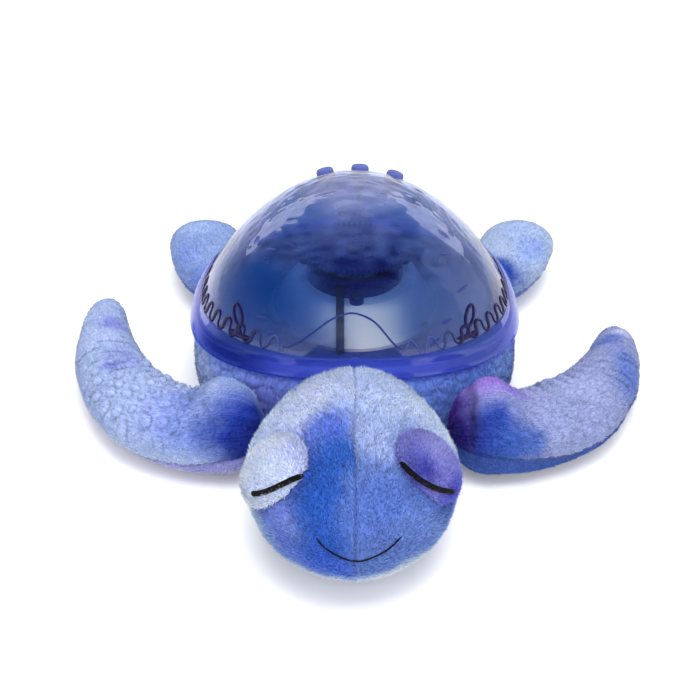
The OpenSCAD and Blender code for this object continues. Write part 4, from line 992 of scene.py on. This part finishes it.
def layPile(name, skin, body, coat, flow, keep, seed):
    chance = np.random.default_rng(seed)
    mesh = skin.data
    mesh.calc_loop_triangles()
    corners = np.empty(len(mesh.loop_triangles) * 3, np.int32)
    mesh.loop_triangles.foreach_get("vertices", corners)
    corners = corners.reshape(-1, 3)
    points = readPoints(skin)
    a, b, c = (points[corners[:, k]] for k in range(3))
    middle = (a + b + c) / 3
    clear = middle[:, 2] > 1.1 * coat["length"]  # none into the ground
    size = np.linalg.norm(np.cross(b - a, c - a), axis=1) * keep(middle) * clear
    pick = chance.choice(len(size), coat["count"], p=size / size.sum())
    share = chance.random((len(pick), 2))
    share = np.where(share.sum(1)[:, None] > 1, 1 - share, share)
    share = np.stack([1 - share.sum(1), share[:, 0], share[:, 1]], 1)[:, :, None]
    onSkin = (points, readNormals(skin), readDye(skin))
    root, up, dye = ((rows[corners[pick]] * share).sum(1) for rows in onSkin)
    free = np.ones(len(root), bool)
    for line, gap in coat["free"]:
        for spot in line[::3]:
            free &= ((root - spot) ** 2).sum(1) > gap * gap
    root, up, dye = root[free], up[free], dye[free]
    n = len(root)
    up = unitRows(up)
    along = flow(root, up)
    along -= (along * up).sum(1)[:, None] * up
    along /= np.linalg.norm(along, axis=1)[:, None] + 1e-9
    yaw = chance.normal(0, coat["stray"], n) + coat["drift"] * softNoise(root, 6, seed + 1)
    along = along * np.cos(yaw)[:, None] + np.cross(up, along) * np.sin(yaw)[:, None]
    across = np.cross(up, along)
    spread = coat["leanSpread"]
    lean = np.radians(coat["lean"] + chance.normal(0, spread, n) + spread * softNoise(root, 4, seed + 2))
    way = up * np.cos(lean)[:, None] + along * np.sin(lean)[:, None]
    over = np.cross(way, across)
    long = coat["length"] * chance.uniform(*coat["lengths"], n)
    half = coat["width"] / 2 * chance.uniform(*coat["widths"], n)
    foot = root - up * coat["sunk"]
    rings = [foot + (half * math.cos(t))[:, None] * across + (half * math.sin(t))[:, None] * over
             for t in (math.pi / 2, math.pi * 7 / 6, math.pi * 11 / 6)]
    spikes = np.stack(rings + [foot + way * long[:, None]], 1).reshape(-1, 3)
    faces = np.array([0, 2, 1, 0, 1, 3, 1, 2, 3, 2, 0, 3])
    loops = (np.arange(n)[:, None] * 4 + faces).ravel().astype(np.int32)
    strands = bpy.data.meshes.new(name)
    strands.vertices.add(n * 4)
    strands.loops.add(n * 12)
    strands.polygons.add(n * 4)
    strands.loops.foreach_set("vertex_index", loops)
    strands.polygons.foreach_set("loop_start", np.arange(0, n * 12, 3, dtype=np.int32))
    piece = bpy.data.objects.new(name, strands)
    scene.collection.objects.link(piece)
    writePoints(piece, spikes)
    strands.update(calc_edges=True)
    strands.validate()
    # painted light on each strand: its three root corners darkened as painted shade, its tip mixed towards the
    # pale tip colour as a painted highlight, less on dark dye
    tone = np.exp(chance.normal(0, coat["uneven"], n) + 0.14 * softNoise(root, 3.2, seed + 3))[:, None]
    light = np.clip(2.2 * (dye @ luma), 0.04, 1)
    pale = coat["tipHighlight"] * light * chance.uniform(*coat["tipHighlights"], n)
    # painted light: the tips of strands that face down are made paler, as if lit under the chin and flanks
    bright = coat["tipLight"] * (1 + coat["belly"] * ease(0.15, -0.6, up[:, 2]))[:, None]
    tip = blend(dye, coat["tip"], pale) * tone * bright
    setDye(piece, np.stack([dye * coat["rootShade"]] * 3 + [tip], 1).reshape(-1, 3))
    # a cell of the colour map for each strand
    cells = math.ceil(math.sqrt(n))
    corner = np.stack([np.arange(n) % cells, np.arange(n) // cells], 1)[:, None, :]
    spot = np.array([[0.2, 0.15], [0.8, 0.15], [0.5, 0.3], [0.5, 0.85]])[None]
    layout = ((corner + spot) / cells).reshape(-1, 2)
    strands.uv_layers.new(name="OFBake").data.foreach_set("uv", layout[loops].astype(np.float32).ravel())
    smoothShade(piece)
    strands.materials.append(pileStrand)
    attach(piece, body)
    print("turtle:", name, n, "strands")


everywhere = lambda p: np.ones(len(p))
threads = [(sewn["mouthThread"], 0.8), (sewn["lashLeft"], 1.5), (sewn["lashRight"], 1.5)]
limbGap = 9.0  # mm of the body beside a flipper that stay free of pile
# the root share is painted shade at the foot of each strand; the tip colour, its shares and the tip brightness
# are a painted highlight on its end
coat = {"length": 2.9, "width": 0.54, "lean": 57, "stray": 0.24, "uneven": 0.22, "tipHighlight": 0.2, "rootShade": 0.5,
        "tip": tint(208, 221, 255), "tipLight": 1.28, "belly": 0.65, "sunk": 0.3, "count": 46000, "free": [],
        "drift": 0.45, "leanSpread": 9, "lengths": (0.7, 1.25), "widths": (0.75, 1.25), "tipHighlights": (0.3, 1.5)}
headCoat = {**coat, "free": threads}
lidCoat = {**headCoat, "count": 7000, "rootShade": 0.6, "tipHighlight": 0.1}
rearCoat = {**coat, "count": 13000, "length": 1.75, "width": 0.58, "lean": 60, "rootShade": 0.58, "tipHighlight": 0.12,
            "uneven": 0.18}
frontCoat = {**rearCoat, "count": 30000}
bodyCoat = {**coat, "count": 25000, "length": 1.9, "width": 0.58, "lean": 58, "rootShade": 0.6, "uneven": 0.2}


def swept(p, n):
    return np.stack([0.5 * np.tanh(p[:, 0] / 8), np.full(len(p), 0.9), np.full(len(p), 0.5)], 1)


def offSeam(p):
    # none on the seam or where the shell covers the neck, and less under the chin
    kept = (np.abs(p[:, 0] - seamLine(p)) > 0.16) | (p[:, 2] < 30)
    return kept * ease(-66, -72, p[:, 1]) * (0.35 + 0.65 * ease(8, 22, p[:, 2]))


layPile("headPile", headPiece, "base", headCoat, swept, offSeam, 701)
for node, lid in lids.items():
    layPile(lid["name"].replace("eyelid", "lidPile"), bpy.data.objects[lid["name"]], "base",
            lidCoat, swept, everywhere, lid["seed"] + 1)
for node, fin in flippers.items():
    facts = fin["facts"]
    heading = np.gradient(facts["spine"], axis=0)

    def alongSpine(p, n):
        u = alongFlipper(facts, p)[0]
        way = np.stack([np.interp(u, facts["u"], heading[:, k]) for k in range(3)], 1)
        return unitRows(way) - np.array([0, 0, 0.35])

    layPile(fin["name"] + "Pile", bpy.data.objects[fin["name"]], node,
            frontCoat if "front" in node else rearCoat, alongSpine, everywhere, fin["seed"] + 31)
limbs = surfaceOf(*(bpy.data.objects[fin["name"]] for fin in flippers.values()))


def offLimbs(p):
    # none on the belly, and none where a lifted flipper would brush past
    spots = (Vector((q + shellAt) / 1000) for q in p)
    near = np.array([limbs.find_nearest(spot, limbGap / 1000)[0] is not None for spot in spots])
    return ease(0.84, 0.9, outward(p)) * ease(2, 8, p[:, 2]) * ~near


def downward(p, n):
    return np.stack([p[:, 0] / 90, p[:, 1] / 90, np.full(len(p), -1.2)], 1)


layPile("bodyPile", bodyPiece, "base", bodyCoat, downward, offLimbs, 771)
print("turtle: pile laid")

# shell

shell = {
    "rim": (93.0, 67.0, 95.0), "square": 2.5, "rimZ": 50.0, "bandH": 12.0, "frontInset": 2.4,
    "foot": (86.0, 64.0, 88.0), "footZ": 62.0, "height": 72.0, "crown": 1.88, "flank": 1.24,
    "wall": 2.4, "ripple": 0.24, "grid": (300, 146), "ledge": (52, 54.2), "ledgeInset": (1.44, 13),
    "posts": 6, "postInset": 7.8, "postRadius": 3.2, "postZ": 55.1, "postLength": 6.2,
    "band": [(0.7, 0.0), (0.0, 0.07), (0.8, 0.3), (2.2, 0.58), (4.0, 0.82), (6.2, 0.985)],
    "bandStops": [0, 0.02, 0.10, 0.15, 0.18, 0.195],
}
# the row of three buttons on the dome, with a post for their bracket at each end
keys = {"x": 3.0, "pitch": 19.5, "y": 36.0, "hole": 10.7, "punch": 12, "postStep": 1.8, "postDepth": 6.4,
        "postLength": 10.4}


def powSign(v, e):
    return np.sign(v) * np.abs(v) ** e


def eggPoint(hw, front, rear, e, t):
    s = np.sin(t)
    return hw * powSign(np.cos(t), 2 / e), np.where(s < 0, front, rear) * powSign(s, 2 / e)


def domeRise(k):
    # height of the dome at a share k of the way from its axis to its foot
    return shell["footZ"] + shell["height"] * np.maximum(0, 1 - k ** shell["crown"]) ** (1 / shell["flank"])


def domeHeight(x, y):
    hw, front, rear = shell["foot"]
    return domeRise(np.hypot(x / hw, y / np.where(y < 0, front, rear)))


def domeNormal(x, y, d=0.05):
    slopeX = (domeHeight(x - d, y) - domeHeight(x + d, y)) / (2 * d)
    slopeY = (domeHeight(x, y - d) - domeHeight(x, y + d)) / (2 * d)
    return unit([slopeX, slopeY, 1])


def shellPoint(s, t):
    # s runs round the rim, t from the rim's lower edge (0) over the band (0.2) to the crown (1)
    turn = 2 * math.pi * s
    fine = np.linspace(0, shell["bandStops"][-1], 80)
    inBand, up = (np.interp(t, fine, smoothRow(np.interp(fine, shell["bandStops"], row), 11))
                  for row in zip(*shell["band"]))
    hw, front, rear = shell["rim"]
    front = front - np.minimum(inBand, shell["frontInset"])
    bx, by = eggPoint(hw - inBand, front, rear - inBand, shell["square"], turn)
    k = np.maximum(np.cos(np.clip((t - 0.2) / 0.8, 0, 1) * math.pi / 2), 0)
    fw, ff, fr = shell["foot"]
    dx, dy = eggPoint(fw * k, ff * k, fr * k, 2 + 0.15 * k ** 4, turn)
    onDome = t >= 0.2
    return np.stack([np.where(onDome, dx, bx), np.where(onDome, dy, by),
                     np.where(onDome, domeRise(k), shell["rimZ"] + shell["bandH"] * up)], 1)


domePiece = wrappedGrid("domeShell", *shell["grid"], shellPoint)
weld(domePiece, 0.00001)
points = readPoints(domePiece)
normals = readNormals(domePiece)
upper = 0.25 + 0.75 * ease(82, 106, points[:, 2])
swirl = softNoise(points / (8.0, 3.0, 3.0), 1, 501) + 0.7 * softNoise(points / (17.0, 5.5, 5.5), 1, 502)
swirl = swirl * ease(61, 68, points[:, 2])
writePoints(domePiece, points + normals * (shell["ripple"] * swirl * upper)[:, None])
wall = domePiece.modifiers.new("wall", "SOLIDIFY")
wall.thickness = shell["wall"] / 1000
wall.offset = -1
applyAll(domePiece)


def standOn(step, depth):
    # a place in the row of buttons, measured down from the dome's face, and the direction of its axis
    x = keys["x"] + step * keys["pitch"]
    y = keys["y"]
    n = domeNormal(x, y)
    return np.array([x, y, float(domeHeight(x, y))]) - n * depth, n


def rodAt(place, axis, radius, length, sides):
    bpy.ops.object.select_all(action="DESELECT")
    bpy.ops.mesh.primitive_cylinder_add(vertices=sides, radius=radius / 1000, depth=length / 1000,
                                        location=Vector(place + shellAt) / 1000,
                                        rotation=Vector(axis).to_track_quat("Z", "Y").to_euler())
    return bpy.context.active_object


for step in (-1, 0, 1):
    punch = rodAt(*standOn(step, 1.0), keys["hole"] / 2, keys["punch"], 48)
    cut = domePiece.modifiers.new("cut", "BOOLEAN")
    cut.operation = "DIFFERENCE"
    cut.object = punch
    applyAll(domePiece)
    bpy.data.objects.remove(punch)


def joinTo(piece, others):
    only(piece)
    for other in others:
        other.select_set(True)
    bpy.context.view_layer.objects.active = piece
    bpy.ops.object.join()


def postAt(place, axis, length):
    post = rodAt(place, axis, shell["postRadius"], length, 32)
    bpy.ops.object.transform_apply(location=True, rotation=True, scale=True)
    return post


def ledgePoint(s, t):
    # the ledge inside the rim that the screws go up into
    corners = [0, 0.25, 0.5, 0.75, 1]
    low, high = shell["ledge"]
    outer, inner = shell["ledgeInset"]
    inset = np.interp(t, corners, [outer, inner, inner, outer, outer])
    x, y = eggPoint(*(v - inset for v in shell["rim"]), shell["square"], 2 * math.pi * s)
    return np.stack([x, y, np.interp(t, corners, [low, low, high, high, low])], 1)


ledge = wrappedGrid("ledge", 180, 24, ledgePoint)
weld(ledge, 0.00001)
posts = []
for i in range(shell["posts"]):
    turn = math.radians(360 / shell["posts"] * (i + 0.5))
    x, y = eggPoint(*(v - shell["postInset"] for v in shell["rim"]), shell["square"], turn)
    posts.append(postAt(np.array([float(x), float(y), shell["postZ"]]), (0, 0, 1), shell["postLength"]))
for step in (-keys["postStep"], keys["postStep"]):
    posts.append(postAt(*standOn(step, keys["postDepth"]), keys["postLength"]))
joinTo(domePiece, [ledge] + posts)
smoothShade(domePiece, 35)


def shellMaterial(name, look):
    # tinted clear wall under a gloss that grows towards the edge, with a haze that the mould left; the haze
    # colour also carries painted reflections and painted shade
    material, tree, shader = startMaterial(name)
    out = next(n for n in tree.nodes if n.type == "OUTPUT_MATERIAL")
    clear = addNode(tree, "ShaderNodeBsdfTransparent", {"Color": attribute(tree, "dye")})
    dress(tree, shader, {"Base Color": attribute(tree, "hazeWithPaintedLight"), "Roughness": 0.25, "Specular IOR Level": 0.3})
    wall = mixShader(tree, attribute(tree, "haze", "Fac"), clear.outputs[0], shader.outputs[0])
    shine = {"Color": attribute(tree, "gleam"), "Roughness": look["polish"]}
    gloss = addNode(tree, "ShaderNodeBsdfAnisotropic", shine)
    edge = addNode(tree, "ShaderNodeLayerWeight", {"Blend": 0.5})
    steep = mathNode(tree, "POWER", edge.outputs["Facing"], 4.0)
    mirror = remap(tree, steep, 0.0, 1.0, look["flatGloss"], look["edgeGloss"])
    dress(tree, out, {"Surface": mixShader(tree, mirror, wall, gloss.outputs[0])})
    return material


domeLook = {
    "shine": (0.94, 0.95, 1.0), "rimShine": (0.74, 0.78, 1.0), "darkShine": (0.1, 0.3, 0.96),
    "polish": 0.04, "flatGloss": 0.04, "edgeGloss": 0.56,
    "tintTop": (0.48, 0.60, 0.82), "tintFront": (0.90, 0.92, 0.96), "tintRim": (0.34, 0.42, 0.88),
    "haze": 0.27, "window": -0.21, "crown": 0.12, "edges": 0.14, "dashes": 0.11, "rimHaze": 0.34,
    "hazeWithPaintedLight": (58, 80, 132), "gain": 1.4, "rimHazeWithPaintedLight": (76, 96, 214),
    # the patches of the haze colour are painted light: pale where lamps and the white room would be reflected,
    # dark where the shell would show shade
    "patches": [
        ((-50, -38, 84), (40, 36, 28), (2, 60, 126), 1.0),
        ((-22, -50, 100), (26, 20, 16), (34, 72, 132), 0.6),
        ((50, -42, 84), (36, 32, 28), (72, 94, 142), 0.9),
        ((0, -24, 120), (30, 18, 14), (70, 80, 130), 0.8),
        ((2, -50, 104), (34, 18, 15), (10, 22, 66), 0.95),
        ((0, 12, 133), (52, 40, 12), (138, 140, 168), 1.0),
        ((-58, 12, 106), (28, 34, 20), (112, 118, 166), 0.8),
        ((58, 12, 106), (28, 34, 20), (116, 120, 160), 0.8),
        ((-86, 0, 70), (14, 70, 24), (150, 152, 190), 0.95),
        ((86, 0, 72), (13, 70, 26), (70, 70, 98), 0.95),
    ],
    # the rim's patches likewise: paler and darker parts painted as light and shade
    "rim": [
        ((0, -66, 56), (36, 22, 14), (104, 130, 246), 1.0),
        ((-68, -45, 56), (34, 26, 14), (2, 22, 132), 1.0),
        ((70, -45, 56), (36, 26, 14), (66, 88, 178), 1.0),
        ((-90, 0, 56), (14, 40, 14), (120, 122, 190), 0.8),
        ((90, 0, 56), (14, 40, 14), (110, 108, 180), 0.8),
    ],
}
domeMaterial = shellMaterial("tintedShell", domeLook)
points = readPoints(domePiece)
x, y, z = points.T
rimShare = 1 - ease(59.5, 63.5, z)
inFront = 1 - ease(-40, -8, y)
window = np.exp(-((x - 4) / 30) ** 4) * inFront * (1 - ease(106, 124, z))
pane = np.exp(-((x - 3) / 25) ** 4) * inFront * (1 - ease(84, 94, z))
through = blend(domeLook["tintTop"], domeLook["tintFront"], pane)
setDye(domePiece, blend(through, domeLook["tintRim"], rimShare))
darkSide = np.exp(-((x + 66) / 34) ** 4 - ((y + 48) / 26) ** 4)
rimGleam = blend(domeLook["rimShine"], domeLook["darkShine"], darkSide)
setDye(domePiece, blend(domeLook["shine"], rimGleam, rimShare), "gleam")
# the haze colour with its patches of painted reflection and painted shade, over the dome and over the rim
hazeLightAndShade = tieDye(points, domeLook["hazeWithPaintedLight"], domeLook["patches"], 520, 4, 0)
band = tieDye(points, domeLook["rimHazeWithPaintedLight"], domeLook["rim"], 530, 4, 0)
setDye(domePiece, blend(domeLook["gain"] * hazeLightAndShade, band, rimShare), "hazeWithPaintedLight")
streaks = softNoise(points / (7.0, 2.8, 2.8), 1, 503)
dashes = ease(0.2, 0.5, streaks) - ease(0.2, 0.5, -streaks)
edges = ease(62, 84, np.hypot(x, y * 0.9))
cover = (domeLook["haze"] + domeLook["window"] * window + domeLook["crown"] * ease(112, 130, z)
         + domeLook["edges"] * edges + domeLook["dashes"] * dashes * ease(84, 112, z))
cover = cover * (1 - rimShare) + domeLook["rimHaze"] * rimShare
hazeLayer = domePiece.data.attributes.new("haze", "FLOAT", "POINT")
hazeLayer.data.foreach_set("value", np.clip(cover, 0, 1).astype(np.float32))
domePiece.data.materials.clear()
domePiece.data.materials.append(domeMaterial)
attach(domePiece, "base")
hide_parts("dome_shell")
print("turtle: shell", len(domePiece.data.polygons), "faces")

# moulded marks on the shell: a wave line above the rim, an arch in front, two tufts of weed and a few leaves

marks = {
    "waves": 46, "low": 61.6, "high": 69.0, "lineWidth": 1.1, "lineRise": 0.6, "until": 0.72,
    "arch": [(-38.5, 64.2), (-31, 68.5), (-24.1, 73.8), (-13.3, 82.5), (-1.5, 86.7), (10.8, 82.2),
             (18.9, 71.7), (25, 64.2)],
    "tufts": [(-61.5, 64.0, -0.12), (60.5, 64.0, 0.12)],
    "leaves": [(-50.2, 77.3, 0.15), (-44.8, 71.5, 0.5), (-45, 107, 0.3), (-34, 112, -0.2), (49, 104, -0.3),
               (49.4, 75.5, 0.1), (58.3, 87, 0.2), (43, 67, 0.6)],
    "dark": (16, 8, 58), "mid": (34, 46, 112), "pale": (66, 80, 152),
}
weed = {"loopHalf": (2.3, 5.2), "loopZ": 11.5, "loopWide": 2.1, "loopRise": 0.7, "squash": 0.86,
        "stalk": 6.5, "stalkWide": 2.6, "stalkRise": 0.35, "ways": (-1, -0.35, 0.4, 1), "reach": (6.0, 4.5),
        "bladeWide": 3.0, "bladeRise": 0.5, "lowest": 62.3}
leafForm = {"half": 2.6, "wide": 1.7, "rise": 0.3}


def shareAt(z):
    # how far from its axis, as a share of its foot, the dome has a height of z
    fall = ((np.asarray(z, float) - shell["footZ"]) / shell["height"]) ** shell["flank"]
    return np.maximum(0, 1 - fall) ** (1 / shell["crown"])


def frontSpots(x, z):
    x = np.asarray(x, float)
    hw, front, rear = shell["foot"]
    y = -front * np.sqrt(np.maximum(0, shareAt(z) ** 2 - (x / hw) ** 2))
    return np.stack([x, y, np.asarray(z, float)], 1)


def ringSpots(turn, z):
    hw, front, rear = shell["foot"]
    k = shareAt(z)
    s = np.sin(turn)
    return np.stack([hw * k * np.cos(turn), np.where(s < 0, front, rear) * k * s, z], 1)


domeSurface = surfaceOf(domePiece)


def shellRib(name, place, wide, high, columns):
    normal = np.array([domeNormal(p[0], p[1]) for p in place])
    place = np.array([onSurface(domeSurface, p, n)[0] for p, n in zip(place, normal)])
    wide, high = (np.broadcast_to(v, len(place)) for v in (wide, high))
    return ribAlong(name, place, normal, wide, high, columns, 8, sunk=0.1)


arch = np.array(marks["arch"])
archX = np.linspace(arch[0, 0], arch[-1, 0], 90)
bell = np.interp(archX, arch[:, 0], arch[:, 1])
for _ in range(3):
    bell = smoothRow(bell, 9)
archPath = frontSpots(archX, bell)
hw, front, rear = shell["foot"]
turns = [math.atan2(p[1] / front, p[0] / hw) % (2 * math.pi) for p in (archPath[0], archPath[-1])]
turn = np.linspace(turns[1], turns[0] + 2 * math.pi, 2400)
# the wave meets the arch at its low points
sweep = (turn - turn[0]) / (turn[-1] - turn[0])
count = round(marks["waves"] * (turn[-1] - turn[0]) / (2 * math.pi))
phase = 2 * math.pi * count * sweep
waveZ = marks["low"] + 1.2 + (marks["high"] - marks["low"]) * (0.5 - 0.5 * np.cos(phase))
tone = ease(0.35, 0.75, np.abs(np.cos(turn)))
# steep flanks and round turns at the sides
wobble = 0.45 * tone * (turn[-1] - turn[0]) / (2 * math.pi * count) * np.sin(2 * phase)
wavePath = ringSpots(turn + wobble, waveZ)
waveWide = marks["lineWidth"] * (0.6 + tone * (1.1 + 0.7 * np.sin(phase)))
ribs = []
for part in np.split(np.arange(len(turn)), np.flatnonzero(np.diff(np.sin(turn) < marks["until"])) + 1):
    if np.sin(turn[part[len(part) // 2]]) < marks["until"]:
        columns = 3 * len(part) // 2
        ribs.append(shellRib("wave", wavePath[part], waveWide[part], marks["lineRise"], columns))
ribs.append(shellRib("arch", archPath, marks["lineWidth"], marks["lineRise"], 180))
for x, z, lean in marks["tufts"]:
    ring = np.linspace(0, 2 * math.pi, 60)
    u = weed["loopHalf"][0] * np.sin(ring)
    v = weed["loopZ"] - weed["loopHalf"][1] * np.cos(ring)
    loop = frontSpots(x + u + lean * v, z + v * weed["squash"])
    ribs.append(shellRib("weed", loop, weed["loopWide"], weed["loopRise"], 90))
    up = np.linspace(0, weed["stalk"], 20)
    stalk = frontSpots(x + lean * up, z + up * weed["squash"])
    ribs.append(shellRib("stalk", stalk, weed["stalkWide"], weed["stalkRise"], 24))
    for way in weed["ways"]:
        blade = np.linspace(0, 1, 24)
        reach = weed["reach"][abs(way) < 1]  # the outer blades are longer
        px = x + reach * way * blade
        pz = np.maximum(z - 0.4 + reach * 0.62 * (1 - 0.45 * abs(way)) * blade, weed["lowest"])
        bladeWide = weed["bladeWide"] * np.sin(math.pi * (0.08 + 0.9 * blade))
        ribs.append(shellRib("blade", frontSpots(px, pz), bladeWide, weed["bladeRise"], 30))
for x, z, lean in marks["leaves"]:
    leaf = np.linspace(-1, 1, 24)
    leafPath = frontSpots(x + leafForm["half"] * leaf, z + leafForm["half"] * lean * leaf)
    leafWide = leafForm["wide"] * np.sqrt(1 - 0.97 * leaf ** 2)
    ribs.append(shellRib("leaf", leafPath, leafWide, leafForm["rise"], 30))
for rib in ribs:
    # the wave line is paler in front, the rest has one colour
    atSide = "mid" if rib.name.startswith(("arch", "leaf")) else "dark"
    ahead = "pale" if rib.name.startswith("wave") else atSide
    sideShare = ease(30, 62, np.abs(readPoints(rib)[:, 0]))
    setDye(rib, blend(tint(*marks[ahead]), tint(*marks[atSide]), sideShare))
markPiece = ribs[0]
joinTo(markPiece, ribs[1:])
markPiece.name = markPiece.data.name = "shellMarks"
markMaterial, markTree, markShader = startMaterial("mouldedMark")
markDye = attribute(markTree, "dye")
dress(markTree, markShader, {"Base Color": markDye, "Roughness": 0.3, "Specular IOR Level": 0.3})
markPiece.data.materials.append(markMaterial)
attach(markPiece, "base")
print("turtle: shell marked")

# buttons with a soft crown over the flange and stem

buttons = {
    "profile": [(0, 3.6), (1.6, 3.55), (3.0, 3.3), (4.1, 2.8), (4.75, 2.0), (5.0, 1.0), (5.0, -3.1),
                (6.5, -3.1), (6.5, -4.5), (2.0, -4.5), (2.0, -6.4), (0, -6.4)],
    "nodes": {"button_left": -1, "button_centre": 0, "button_right": 1},
}
profile = np.array(buttons["profile"])
run = runOf(profile)
for node, step in buttons["nodes"].items():
    spot, axis = standOn(step, 0.0)
    e1 = unit(np.cross(axis, (0, 1, 0)))
    e2 = np.cross(axis, e1)

    def turned(s, t):
        far = (1 - t) * run[-1]
        r = np.interp(far, run, profile[:, 0])
        h = np.interp(far, run, profile[:, 1])
        a = 2 * math.pi * s
        return spot + (r * np.cos(a))[:, None] * e1 + (r * np.sin(a))[:, None] * e2 + h[:, None] * axis

    cap = wrappedGrid(node.replace("button_", "buttonCap"), 48, 96, turned)
    weld(cap, 0.00001)
    smoothShade(cap, 40)
    buttons[node] = cap
    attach(cap, node)
    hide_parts(node)
print("turtle: buttons turned")

# finishes of the solids that stay

def moulded(name, colour, vary=0.08, rough=0.4, metal=0.0, grain=900.0, nap=0.12, alpha=1.0):
    material, tree, shader = startMaterial(name)
    coords = objectCoords(tree)
    fine = noiseNode(tree, coords, grain, 3.0)
    wide = noiseNode(tree, coords, 35.0, 2.0)
    low, high = (tuple(np.clip(np.array(colour) * (1 + k * vary), 0, 1)) for k in (-1, 1))
    dress(tree, shader, {
        "Base Color": mixColour(tree, wide, low, high), "Metallic": metal, "Alpha": alpha,
        "Roughness": remap(tree, fine, 0.3, 0.7, rough * 0.85, min(1, rough * 1.2)),
    })
    bumpFrom(tree, shader, fine, nap, 0.0002)
    return material


def skirtMaterial(name, look):
    # painted light: pale in front of the lamp; darker towards the rim
    material, tree, shader = startMaterial(name)
    coords = objectCoords(tree)
    across = addNode(tree, "ShaderNodeSeparateXYZ", {0: coords}).outputs["X"]
    flat = addNode(tree, "ShaderNodeVectorMath", {0: coords, 1: (1, 1, 0)}, operation="MULTIPLY").outputs[0]
    axis = (shellAt[0] / 1000, shellAt[1] / 1000, 0)
    far = addNode(tree, "ShaderNodeVectorMath", {0: flat, 1: axis}, operation="DISTANCE").outputs["Value"]
    ground = mixColour(tree, remap(tree, far, *look["outer"]), look["middle"], look["rim"])
    left = remap(tree, across, *look["left"])
    right = remap(tree, across, *look["right"], 1.0, 0.0)
    lit = mathNode(tree, "MULTIPLY", left, right)
    dress(tree, shader, {"Base Color": mixColour(tree, lit, ground, look["pale"]), "Roughness": 0.35})
    bumpFrom(tree, shader, noiseNode(tree, coords, 900.0, 3.0), 0.12, 0.0002)
    return material


skirtLook = {"pale": tint(250, 238, 216), "middle": tint(214, 216, 216), "rim": tint(16, 44, 116),
             "outer": (0.034, 0.050), "left": (-0.012, 0.002), "right": (0.022, 0.034)}
finishes = [
    (moulded("trayWhite", tint(222, 224, 230), rough=0.45),
     ["base_tray", "battery_door", "button_bracket", "motor_bracket"]),
    (moulded("deckNavy", tint(30, 44, 120), rough=0.35), ["deck_plate"]),
    (moulded("towerNavy", tint(28, 40, 110), rough=0.25), ["lamp_tower", "disc_spider"]),
    (skirtMaterial("skirtIvory", skirtLook), ["lamp_base"]),
    (moulded("discClear", tint(70, 86, 160), rough=0.12, alpha=0.7), ["ripple_disc"]),
    (moulded("gearWhite", tint(225, 226, 228), rough=0.4), ["drive_pinion"]),
    (moulded("screwSteel", (0.56, 0.57, 0.6), rough=0.3, metal=1.0, nap=0.05),
     ["dome_screws", "deck_screws", "lamp_screws", "tower_screws", "board_screws", "motor_screws",
      "speaker_screws", "bracket_screws", "door_screw", "motor_shaft", "disc_retainer", "gear_motor",
      "speaker_frame", "speaker_magnet"]),
    (moulded("contactNickel", (0.66, 0.65, 0.62), rough=0.25, metal=1.0, nap=0.05),
     ["battery_springs", "battery_contacts"]),
    (moulded("boardGreen", tint(34, 92, 56), rough=0.4), ["main_board", "led_board"]),
    (moulded("chipBlack", tint(30, 30, 33), rough=0.5), ["board_components"]),
    (moulded("switchGrey", tint(70, 78, 120), rough=0.5), ["tact_switches"]),
    (moulded("lampClear", tint(232, 234, 225), rough=0.1), ["leds"]),
    (moulded("coneBlack", tint(36, 36, 38), rough=0.8, nap=0.4), ["speaker_cone"]),
    (moulded("cellWrap", tint(190, 120, 50), rough=0.3), ["battery_cells"]),
    (moulded("sleeveBlack", tint(24, 24, 34), rough=0.5), ["wire_sleeve"]),
    (moulded("leadRed", tint(170, 40, 40), rough=0.45), ["inner_leads"]),
]
buttonBlue = moulded("buttonBlue", tint(80, 90, 158), rough=0.6)
for node in buttons["nodes"]:
    buttons[node].data.materials.append(buttonBlue)
for material, names in finishes:
    for name in names:
        slots = nodes[name].material_slots
        if not slots:
            nodes[name].data.materials.append(material)
        for slot in slots:
            slot.material = material
print("turtle: solids finished")

scene.view_settings.view_transform = "Standard"
bpy.ops.object.select_all(action="DESELECT")
